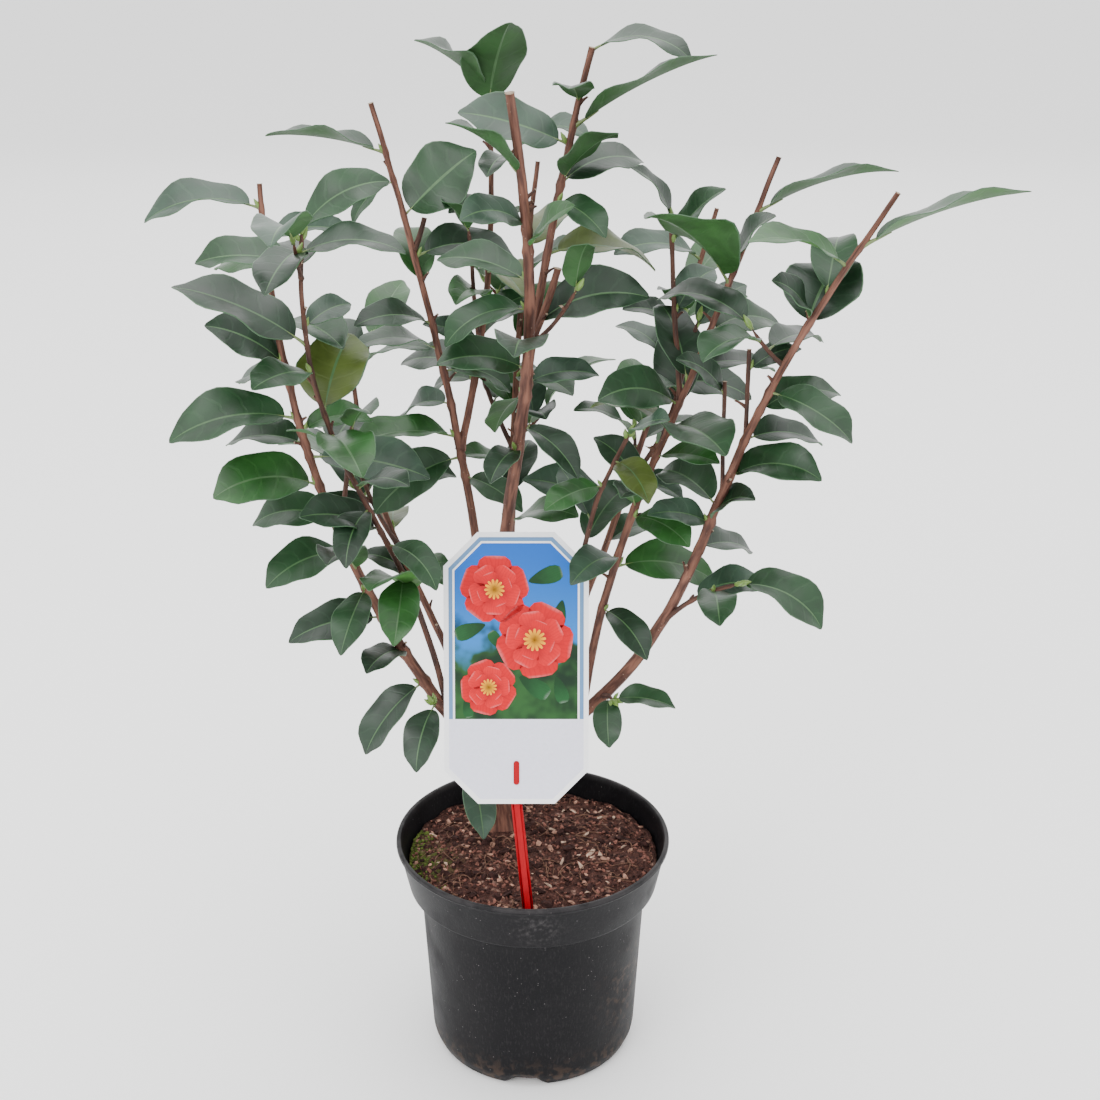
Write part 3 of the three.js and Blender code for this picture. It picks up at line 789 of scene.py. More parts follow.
def spun(bm: bmesh.types.BMesh, profile: Sequence[tuple[float, float]], steps: int) -> None:
    """Spins an outline round the upright axis.

    Args:
        bm: The mesh to add to.
        profile: Radius and height of each point; the ends lie on the axis.
        steps: How many sides the shape gets.
    """
    points = [bm.verts.new((radius, 0, height)) for radius, height in profile]
    edges = [bm.edges.new(pair) for pair in zip(points, points[1:])]
    bmesh.ops.spin(
        bm, geom=points + edges, cent=(0, 0, 0), axis=UP, angle=math.tau, steps=steps,
        use_merge=True,
    )
    bmesh.ops.remove_doubles(bm, verts=bm.verts, dist=1e-4)
    bmesh.ops.recalc_face_normals(bm, faces=bm.faces)


def rounded(points: Sequence[Row], steps: int) -> list[tuple[float, float]]:
    """Rounds the corners of an outline.

    Args:
        points: Radius, height and corner size of each point.
        steps: The lengths that a round corner gets.

    Returns:
        The outline's points.
    """
    outline = []
    for i, (radius, height, size) in enumerate(points):
        here = Vector((radius, height))
        if size == 0 or i in (0, len(points) - 1):
            outline.append((radius, height))
            continue
        back = (Vector(points[i - 1][:2]) - here).normalized() * size
        ahead = (Vector(points[i + 1][:2]) - here).normalized() * size
        for step in range(steps + 1):
            t = step / steps
            point = here + back * (1 - t) ** 2 + ahead * t ** 2
            outline.append((point.x, point.y))
    return outline


# ---- Stems ----

@dataclass(frozen=True)
class Curve:
    """A stem's middle line: straight from foot to tip, pushed out by bow and by sway."""

    foot: Vector
    tip: Vector
    bow: Vector
    sway: Vector = Vector((0, 0, 0))
    PARTS = 200

    def point(self, t: float) -> Vector:
        """The point at a share t of the way."""
        straight = self.foot.lerp(self.tip, t)
        return straight + self.bow * (4 * t * (1 - t)) + self.sway * math.sin(math.tau * t)

    def heading(self, t: float) -> Vector:
        """The unit direction at a share t of the way."""
        step = 1e-3
        return (self.point(min(1, t + step)) - self.point(max(0, t - step))).normalized()

    def length(self) -> float:
        """The line's length, measured along short straight parts."""
        points = [self.point(i / self.PARTS) for i in range(self.PARTS + 1)]
        return sum((b - a).length for a, b in zip(points, points[1:]))


@dataclass
class Branch:
    """A shorter stem of a mass, borne by the main stem or by the branch that on counts to.

    A leaf row holds its place along the stem, bearing, rise, length, turn, droop and slimness.
    """

    at: float
    tip: tuple[float, float, float]
    radii: tuple[float, float]
    leaves: tuple[Row, ...] = ()
    on: int = 0
    bow: tuple[float, float, float] | None = None
    leafy: tuple[float, float] | None = None
    phase: float = 0.0
    curve: Curve | None = None


@dataclass
class Stem:
    """A main stem: bare below split, and with its mass of foliage above it."""

    name: str
    bearer: str
    place: float
    split: float
    radii: tuple[float, float]
    tip: tuple[float, float, float]
    bow: tuple[float, float, float]
    sway: tuple[float, float, float]
    leafy: tuple[float, float] | None = None
    phase: float = 0.0
    leaves: tuple[Row, ...] = ()
    branches: tuple[Branch, ...] = ()
    curve: Curve | None = None


Carrier = Stem | Branch


@dataclass(frozen=True)
class TrunkSize:
    """The short trunk, from its flat cut in the compost to its fork."""

    foot: Vector = Vector((-22, 30, 138))
    tip: Vector = Vector((-23, 29, 214))
    bow: Vector = Vector((-2, 0, 0))
    sway: Vector = Vector((1, 1, 0))
    cut: float = 141.0
    radii: tuple[float, float] = (9.5, 7.5)
    flare: float = 4.5
    flare_height: float = 11.0

    def curve(self) -> Curve:
        """The trunk's middle line."""
        return Curve(self.foot, self.tip, self.bow, self.sway)

    def radius(self, t: float) -> float:
        """The trunk's radius at a share t of its height."""
        above = max(0.0, self.curve().point(t).z - self.cut)
        return mix(*self.radii, t) + self.flare * math.exp(-above / self.flare_height)


TRUNK = TrunkSize()

STEMS = (
    Stem(
        "left_outer", bearer="trunk", place=0.68, split=0.17, radii=(4.4, 1.6), tip=(-162, 5, 607),
        bow=(-31, -20, -11), sway=(-1, 3, 5), leafy=(0.2, 0.94), phase=70,
        leaves=(
            (0.97, -172, -5, 74, 15), (0.93, 26, -3, 60, 20), (0.9, 145, -10, 50, 40),
            (0.77, -160, 30, 56, 50), (0.74, 140, -10, 54, 30), (0.69, -170, -8, 84, 30),
            (0.67, 7, 9, 48, 30), (0.65, 160, -5, 58, 20), (0.63, -4, -10, 78, 30, 30),
            (0.58, -162, 2, 72, 35), (0.52, 170, -5, 58, 40), (0.46, -150, -10, 62, 30),
            (0.39, -105, -35, 54, 0), (0.33, -170, -10, 66, 30), (0.26, -120, 5, 48, 10),
            (0.2, -155, -50, 66, 20),
        ),
        branches=(
            Branch(
                at=0.5, tip=(-108, -36, 470), radii=(2, 1.3),
                leaves=((0.95, -60, 30, 46, 30),),
            ),
        ),
    ),
    Stem(
        "left_inner", bearer="left_outer", place=0.128, split=0.22, radii=(2.3, 1.3),
        tip=(-126, -80, 595), bow=(-12, -1, 0), sway=(9, 3, 2), leafy=(0.25, 0.96), phase=200,
        leaves=(
            (1, 6, 31, 60, 40), (0.97, -102, -13, 58, 0), (0.84, 50, 10, 40, 50),
            (0.81, -170, 29, 84, 25, 25), (0.76, -120, 2, 52, 30), (0.68, 75, 46, 58, 0, 30, 0.4),
            (0.48, -110, -30, 50, 10), (0.43, -140, 20, 62, 40), (0.4, -35, -25, 50, 30),
            (0.33, -90, -35, 54, 0),
        ),
    ),
    Stem(
        "left_centre", bearer="trunk", place=0.82, split=0.4, radii=(3.6, 1.7), tip=(-99, 55, 648),
        bow=(13, 16, 2), sway=(1, -1, 0), leafy=(0.43, 0.95), phase=20,
        leaves=(
            (0.93, -168, 10, 76, 0, 25), (0.89, -150, -40, 40, 10),
            (0.84, 13, 37, 62, 45, 20, 0.4), (0.78, 17, -4, 72, 30), (0.68, -145, 5, 58, 30),
            (0.61, 20, -25, 54, 30), (0.56, 145, -25, 52, 30), (0.48, -160, -28, 72, 40),
            (0.45, -50, -20, 50, 20),
        ),
        branches=(
            Branch(
                at=0.49, tip=(-28, 96, 650), radii=(2.7, 1.45), bow=(9, 8, -2), leafy=(0.12, 0.84),
                phase=110,
                leaves=(
                    (1, -162, 36, 58, 0, 25, 0.4), (0.96, -68, 62, 62, 0, 25, 0.36),
                    (0.7, -145, -5, 34, 40), (0.43, -115, 10, 52, 40), (0.3, -165, 22, 42, 40),
                    (0.2, 165, -22, 48, 40),
                ),
            ),
            Branch(
                at=0.3, tip=(-40, 62, 570), radii=(1.7, 1.2), on=1,
                leaves=((0.97, -110, 40, 40, 20),),
            ),
            Branch(at=0.79, tip=(-69, 72, 574), radii=(1.9, 1.7)),
        ),
    ),
    Stem(
        "centre", bearer="trunk", place=0.9, split=0.44, radii=(5.2, 2.6), tip=(-10, -58, 667),
        bow=(8, 19, -1), sway=(-7.5, 8, 4), leafy=(0.47, 0.92), phase=60,
        leaves=(
            (0.84, -140, 12, 52, 50), (0.81, -42, 40, 46, 50), (0.73, -165, -18, 60, 20),
            (0.64, -155, 10, 62, 50), (0.62, 15, 5, 48, 40), (0.6, 120, -40, 56, 20),
            (0.55, -35, -35, 52, 20), (0.51, -115, -10, 46, 20),
        ),
        branches=(
            Branch(
                at=0.62, tip=(37, 22, 684), radii=(2.9, 1.9), bow=(-3, 12, -2), leafy=(0.14, 0.9),
                phase=150,
                leaves=(
                    (0.99, -8, -4, 66, 10, 80), (0.77, -18, 28, 97, 0, 18, 0.2),
                    (0.72, -169, 15, 70, 40, 25), (0.61, -32, 38, 54, 0, 40, 0.36),
                    (0.6, 30, 10, 64, 30), (0.55, -55, -18, 50, 30), (0.39, 20, -12, 80, 20),
                    (0.17, -8, 14, 76, 40),
                ),
            ),
            Branch(at=0.14, tip=(17, -5, 558), radii=(2.3, 2.2), on=1),
            Branch(
                at=0.12, tip=(28, -28, 550), radii=(1.6, 1.1), on=1,
                leaves=((0.96, -75, 55, 44, 50),),
            ),
        ),
    ),
    Stem(
        "right_outer", bearer="trunk", place=0.7, split=0.42, radii=(4.9, 1.55),
        tip=(207, -62, 613), bow=(18, 0, -17), sway=(15, 2, -5), leafy=(0.45, 0.92), phase=260,
        leaves=(
            (0.93, -18, 22, 99, 0, 25, 0.2), (0.83, -145, 40, 42, 50),
            (0.82, 58, 38, 58, 20, 35, 0.42), (0.73, -30, -25, 60, 20), (0.7, 15, 10, 56, 30),
            (0.66, 25, -10, 58, 30), (0.6, -25, 10, 66, 30), (0.53, -150, 15, 48, 50),
            (0.53, -45, 36, 48, 50), (0.49, 40, -18, 54, 30),
        ),
        branches=(
            Branch(
                at=0.66, tip=(132, -25, 513), radii=(1.5, 1.35),
                leaves=((0.8, 20, 15, 40, 30),),
            ),
            Branch(
                at=0.58, tip=(119, -15, 490), radii=(1.5, 1.3),
                leaves=((0.9, -165, 38, 42, 40),),
            ),
        ),
    ),
    Stem(
        "right_centre", bearer="right_outer", place=0.157, split=0.14, radii=(3.1, 1.6),
        tip=(149, 10, 622), bow=(-12, -13, 3), sway=(-2, 1, 6), leafy=(0.18, 0.93), phase=30,
        leaves=(
            (0.92, -19, 20, 88, 0, 30, 0.2), (0.81, -145, 36, 86, 0, 45, 0.38),
            (0.83, -37, 55, 50, 50), (0.73, 25, 0, 56, 30), (0.67, -15, -8, 60, 20),
            (0.6, -165, 15, 66, 50), (0.56, 160, 8, 56, 0), (0.56, -70, 4, 80, 15, 40, 0.27),
            (0.5, -40, 5, 48, 20), (0.43, 160, 42, 48, 40), (0.4, -100, 25, 56, 50),
            (0.38, -25, -14, 48, 30), (0.3, -140, 0, 56, 30), (0.28, -20, -10, 74, 30),
            (0.2, -50, -25, 52, 20),
        ),
        branches=(
            Branch(
                at=0.61, tip=(87, 28, 580), radii=(1.9, 1.4),
                leaves=((1, -150, 50, 46, 50), (0.9, -30, 46, 50, 50), (0.55, 45, 32, 46, 30)),
            ),
            Branch(
                at=0.45, tip=(105, 20, 520), radii=(1.6, 1.1),
                leaves=((0.95, 40, 30, 50, 20),),
            ),
        ),
    ),
    Stem(
        "right_inner", bearer="centre", place=0.1, split=0.5, radii=(2.2, 1.35),
        tip=(61, -26, 460), bow=(12, 9, -10), sway=(7, 1, -6), leafy=(0.55, 0.95), phase=340,
        leaves=((0.99, -40, 28, 44, 40), (0.9, -60, -20, 46, 20), (0.81, -145, -10, 46, 30)),
    ),
    Stem(
        "right_low", bearer="right_outer", place=0.348, split=0, radii=(2, 1.3),
        tip=(131, -32, 362), bow=(-4, 0, 4), sway=(0, 0, 0), leafy=(0.3, 0.9), phase=120,
        leaves=((0.98, -15, -20, 66, 20), (0.75, -90, 0, 54, 40), (0.5, 10, 10, 52, 20)),
    ),
    Stem(
        "low_left", bearer="trunk", place=0.9, split=0, radii=(2.2, 1.4), tip=(-66, -2, 262),
        bow=(-4, -3, 2), sway=(0, 0, 0), leafy=(0.35, 0.9), phase=80,
        leaves=((0.98, -110, -38, 52, 0),),
    ),
    Stem(
        "low_front", bearer="trunk", place=0.76, split=0, radii=(2, 1.4), tip=(-42, -6, 212),
        bow=(0, -2, 4), sway=(0, 0, 0), leafy=(0.4, 0.8), phase=0,
        leaves=((0.9, -80, -32, 54, 0),),
    ),
    Stem(
        "low_right", bearer="right_outer", place=0.2, split=0, radii=(1.7, 1.2), tip=(54, -8, 268),
        bow=(0, 0, 2), sway=(0, 0, 0),
        leaves=((0.95, -12, 0, 44, 20), (0.6, -95, -45, 38, 10)),
    ),
    Stem(
        "back_left", bearer="trunk", place=0.78, split=0.36, radii=(3.2, 1.5),
        tip=(-126, 104, 486), bow=(-14, 14, -10), sway=(2, 6, 4), leafy=(0.4, 0.95), phase=170,
        branches=(
            Branch(at=0.55, tip=(-118, 58, 410), radii=(1.9, 1.3), leafy=(0.3, 1), phase=200),
        ),
    ),
    Stem(
        "back", bearer="trunk", place=0.84, split=0.34, radii=(3.6, 1.6), tip=(4, 136, 600),
        bow=(-4, 18, -12), sway=(3, 5, 3), leafy=(0.38, 0.95), phase=310,
        branches=(
            Branch(at=0.55, tip=(-46, 122, 490), radii=(1.9, 1.3), leafy=(0.3, 1), phase=60),
        ),
    ),
    Stem(
        "back_right", bearer="trunk", place=0.74, split=0.36, radii=(3.2, 1.5),
        tip=(122, 100, 575), bow=(12, 16, -12), sway=(4, 4, 2), leafy=(0.4, 0.95), phase=40,
        branches=(
            Branch(at=0.55, tip=(108, 50, 480), radii=(1.9, 1.3), leafy=(0.3, 1), phase=330),
        ),
    ),
)


def sagging(foot: Vector, tip: Vector, sag: float = 0.07) -> Vector:
    """The bow of a short branch, which leaves its stem a little more level than its chord."""
    return Vector((0, 0, -sag * (tip - foot).length))


def place_stems(stems: Iterable[Stem]) -> None:
    """Works out the curve of every stem and branch from what bears it.

    Args:
        stems: The stems, each after the one that bears it.
    """
    curves = {"trunk": TRUNK.curve()}
    for stem in stems:
        foot = curves[stem.bearer].point(stem.place)
        stem.curve = Curve(foot, Vector(stem.tip), Vector(stem.bow), Vector(stem.sway))
        curves[stem.name] = stem.curve
        carriers: list[Carrier] = [stem]
        for branch in stem.branches:
            start = carriers[branch.on].curve.point(branch.at)
            end = Vector(branch.tip)
            bow = Vector(branch.bow) if branch.bow else sagging(start, end)
            branch.curve = Curve(start, end, bow)
            carriers.append(branch)


# ---- Leaves and the rule that grows them ----

@dataclass(frozen=True)
class Leaf:
    """The numbers of one leaf, in millimetres and degrees."""

    base: Vector
    bearing: float
    rise: float
    length: float
    turn: float
    slim: float
    fold: float
    droop: float
    stem_radius: float = 1.5

    def frame(self, s: float) -> tuple[Vector, Vector, Vector, Vector]:
        """The midrib at a share s of the leaf's length.

        Args:
            s: From 0 at the stem's middle to 1 at the point.

        Returns:
            The point, and the directions along, out of the upper face and across.
        """
        heading = math.radians(self.bearing)
        bend = math.radians(self.droop)
        start = math.radians(self.rise) + bend / 2
        pitch = start - bend * s
        out = self.length / bend
        level = Vector((math.cos(heading), math.sin(heading), 0))
        point = self.base + level * (out * (math.sin(start) - math.sin(pitch)))
        point = point + UP * (out * (math.cos(pitch) - math.cos(start)))
        along = level * math.cos(pitch) + UP * math.sin(pitch)
        roll = math.radians(self.turn) * math.cos(heading)
        left = Vector((-math.sin(heading), math.cos(heading), 0))
        upright = along.cross(left)
        normal = upright * math.cos(roll) - left * math.sin(roll)
        across = left * math.cos(roll) + upright * math.sin(roll)
        return point, along, normal, across

    def blade_point(self, s: float, half: float, side: float) -> Vector:
        """A point of the plain folded blade, at side -1 to 1 from margin to margin.

        Args:
            s: The share of the leaf's length.
            half: The blade's half-width there.
            side: Where it lies across the blade.

        Returns:
            The point, in millimetres.
        """
        point, _, normal, across = self.frame(s)
        fold = math.radians(self.fold)
        reach = half * side
        return point + across * (reach * math.cos(fold)) + normal * (abs(reach) * math.sin(fold))


@dataclass(frozen=True)
class Rule:
    """How leaves stand along a stem and how far they keep from each other.

    A row of shoot_leaves holds a leaf's place along a side shoot, what is added to the leading
    leaf's bearing and rise, and its share of the leading leaf's length.
    """

    slim: tuple[float, float] = (0.22, 0.28)
    fold: tuple[float, float] = (12, 30)
    droop: tuple[float, float] = (35, 75)
    reach: tuple[float, float] = (46, 74)
    internode: float = 21
    divergence: float = 137.5
    wander: float = 16
    rise: tuple[float, float] = (-5, 40)
    turn: float = 22
    near: float = 11
    shoot_every: int = 4
    shoot: tuple[float, float] = (26, 44)
    shoot_rise: float = 42
    shoot_radii: tuple[float, float] = (1.4, 0.9)
    shoot_leaves: tuple[Row, ...] = ((0.98, 0, 0, 1), (0.72, 80, -8, 0.9), (0.5, -85, -14, 0.84))
    shoot_samples: tuple[float, ...] = (0.35, 0.7, 1)
    place: tuple[float, float] = (0.3, 0.7)
    stem_samples: float = 6
    clear_leaf: float = 9.5
    clear_own: float = 4.5
    clear_stem: float = 6
    floor: float = 155
    tries: tuple[float, ...] = (0, 14, -14, 28, -28, 42, -42, 60, -60)
    samples: tuple[float, ...] = (0.2, 0.35, 0.5, 0.65, 0.8, 0.97)
    sides: tuple[float, ...] = (-0.8, 0, 0.8)
    seed: int = 2711
    seed_step: int = 101


@dataclass
class Mass:
    """A stem with what grows on it: its carriers and its leaves."""

    stem: Stem
    chance: Chance
    carriers: list[Carrier]
    leaves: list[Leaf] = field(default_factory=list)


class Grower:
    """Grows every mass, keeping each leaf clear of the stems and of the other masses."""

    def __init__(self, rule: Rule, stems: Sequence[Stem], label: "Label") -> None:
        """Claims the room of all the stems and of the label.

        Args:
            rule: The rule of growth.
            stems: The shrub's stems.
            label: The label that stands in front of them.
        """
        self.rule = rule
        self.points: list[Vector] = []
        self.owners: list[str] = []
        self.rooms: list[float] = []
        self.own_rooms: list[float] = []
        self.masses = [
            Mass(stem, Chance(rule.seed + i * rule.seed_step), [stem, *stem.branches])
            for i, stem in enumerate(stems)
        ]
        self.claim_stem("trunk", TRUNK.curve(), 0, 1, TRUNK.radius)
        for point in label.claimed():
            self.claim("label", point, label.room, label.room)
        for stem in stems:
            width = self.taper(stem.radii)
            self.claim_stem(f"{stem.name}_bough", stem.curve, 0, stem.split, width)
            self.claim_stem(stem.name, stem.curve, stem.split, 1, width)
            for branch in stem.branches:
                self.claim_stem(stem.name, branch.curve, 0, 1, self.taper(branch.radii))

    @staticmethod
    def taper(radii: tuple[float, float]) -> Callable[[float], float]:
        """The radius of a limb as a function of its share t."""
        return lambda t: mix(*radii, t)

    def claim(self, owner: str, point: Vector, room: float, own_room: float) -> None:
        """Takes a point, with the room that others and its own mass keep from it.

        Args:
            owner: The mass that takes the point.
            point: The point.
            room: How far others keep from it.
            own_room: How far its own mass keeps from it.
        """
        self.points.append(point)
        self.owners.append(owner)
        self.rooms.append(room)
        self.own_rooms.append(own_room)

    def claim_stem(
        self, owner: str, curve: Curve, t0: float, t1: float, width: Callable[[float], float]
    ) -> None:
        """Claims points along a limb.

        Args:
            owner: The mass or limb that it belongs to.
            curve: Its middle line.
            t0: Where the stretch starts.
            t1: Where it ends.
            width: Its radius at a share t.
        """
        count = max(1, math.ceil(curve.length() * (t1 - t0) / self.rule.stem_samples))
        for i in range(count + 1):
            t = mix(t0, t1, i / count)
            self.claim(owner, curve.point(t), width(t) + self.rule.clear_stem, 0)

    def is_clear(self, owner: str, points: Sequence[Vector]) -> bool:
        """Whether points of a mass keep clear of all that is taken and of the compost.

        Args:
            owner: The mass that the points belong to.
            points: The points to test.

        Returns:
            True where all of them have room.
        """
        if any(point.z <= self.rule.floor for point in points):
            return False
        own = np.array([name == owner for name in self.owners])
        room = np.where(own, self.own_rooms, self.rooms)
        taken = np.array(self.points)
        gaps = (np.linalg.norm(taken - np.array(point), axis=1) for point in points)
        return all((gap > room).all() for gap in gaps)

    def leaf_samples(self, leaf: Leaf) -> list[Vector]:
        """The points of a leaf that are tested.

        Args:
            leaf: The leaf to test.

        Returns:
            Points on its midrib and near its margins.
        """
        found = []
        for s in self.rule.samples:
            half = leaf.length * leaf.slim * math.sin(math.pi * s)
            found += [leaf.blade_point(s, half, side) for side in self.rule.sides]
        return found

    def settle(self, owner: str, leaf: Leaf) -> Leaf | None:
        """Turns a leaf round its stem until it is clear.

        Args:
            owner: The leaf's mass.
            leaf: The leaf as the rule wants it.

        Returns:
            The turned leaf, or None where there is no room.
        """
        for step in self.rule.tries:
            turned = replace(leaf, bearing=leaf.bearing + step)
            points = self.leaf_samples(turned)
            if self.is_clear(owner, points):
                for point in points:
                    self.claim(owner, point, self.rule.clear_leaf, self.rule.clear_own)
                return turned
        return None

    def add_leaves(self, mass: Mass, carrier: Carrier, rows: Iterable[Row]) -> None:
        """Adds the leaves of some rows to a mass where they find room.

        Args:
            mass: The mass that gets the leaves.
            carrier: The stem or branch that bears them.
            rows: A row for each leaf.
        """
        rule, chance = self.rule, mass.chance
        for row in rows:
            at, bearing, rise, length, turn = row[:5]
            slim, fold = chance.between(*rule.slim), chance.between(*rule.fold)
            droop = chance.between(*rule.droop)
            droop = row[5] if len(row) > 5 else droop
            slim = row[6] if len(row) > 6 else slim
            base, radius = carrier.curve.point(at), mix(*carrier.radii, at)
            leaf = Leaf(base, bearing, rise, length, turn, slim, fold, droop, radius)
            settled = self.settle(mass.stem.name, leaf)
            if settled:
                mass.leaves.append(settled)

    def rule_places(self, carrier: Carrier, chance: Chance) -> list[tuple[Row, int, float]]:
        """The places that fill a leafy stretch between its set leaves.

        Args:
            carrier: The stem or branch.
            chance: The mass's generator.

        Returns:
            A row, its number along the stretch and a side shoot's length for each place.
        """
        rule, length = self.rule, carrier.curve.length()
        low, high = carrier.leafy
        count = math.floor(length * (high - low) / rule.internode)
        places = []
        for index in range(count):
            at = mix(low, high, (index + chance.between(*rule.place)) / count)
            wander = chance.between(-rule.wander, rule.wander)
            bearing = carrier.phase + index * rule.divergence + wander
            rise, size = chance.between(*rule.rise), chance.between(*rule.reach)
            turn, reach = chance.between(0, rule.turn), chance.between(*rule.shoot)
            if not any(abs(row[0] - at) * length < rule.near for row in carrier.leaves):
                places.append(((at, bearing, rise, size, turn), index, reach))
        return places

    def side_shoot(self, carrier: Carrier, row: Row, reach: float) -> Branch:
        """A short side shoot with one leaf at its tip and two along it.

        Args:
            carrier: The stem or branch that bears it.
            row: The row of its leading leaf.
            reach: Its length.

        Returns:
            The shoot, with its leaf rows.
        """
        at, bearing, rise, size, turn = row
        foot = carrier.curve.point(at)
        heading, climb = math.radians(bearing), math.radians(self.rule.shoot_rise)
        level = reach * math.cos(climb)
        ahead, aside = level * math.cos(heading), level * math.sin(heading)
        run = Vector((ahead, aside, reach * math.sin(climb)))
        rows = tuple(
            (place, bearing + swing, rise + lift, size * share, turn)
            for place, swing, lift, share in self.rule.shoot_leaves
        )
        curve = Curve(foot, foot + run, sagging(foot, foot + run))
        return Branch(at, tuple(foot + run), self.rule.shoot_radii, rows, curve=curve)

    def fill(self, mass: Mass, carrier: Carrier) -> None:
        """Fills a carrier's leafy stretch by the rule.

        Args:
            mass: The mass to fill.
            carrier: The stem or branch to fill.
        """
        name, every = mass.stem.name, self.rule.shoot_every
        for row, index, reach in self.rule_places(carrier, mass.chance):
            if index % every < every - 1:
                self.add_leaves(mass, carrier, [row])
                continue
            shoot = self.side_shoot(carrier, row, reach)
            if self.is_clear(name, [shoot.curve.point(t) for t in self.rule.shoot_samples]):
                mass.carriers.append(shoot)
                self.claim_stem(name, shoot.curve, 0, 1, self.taper(shoot.radii))
                self.add_leaves(mass, shoot, shoot.leaves)

    def grow(self) -> list[Mass]:
        """Grows the set leaves of every mass and then those of the rule.

        Returns:
            The masses.
        """
        for mass in self.masses:
            for carrier in [mass.stem, *mass.stem.branches]:
                self.add_leaves(mass, carrier, carrier.leaves)
        for mass in self.masses:
            for carrier in [c for c in (mass.stem, *mass.stem.branches) if c.leafy]:
                self.fill(mass, carrier)
        return self.masses


# ---- Limbs ----

class BarkPart(Enum):
    """The material numbers of a limb's faces."""

    BARK = 0
    TWIG = 1
    CUT = 2


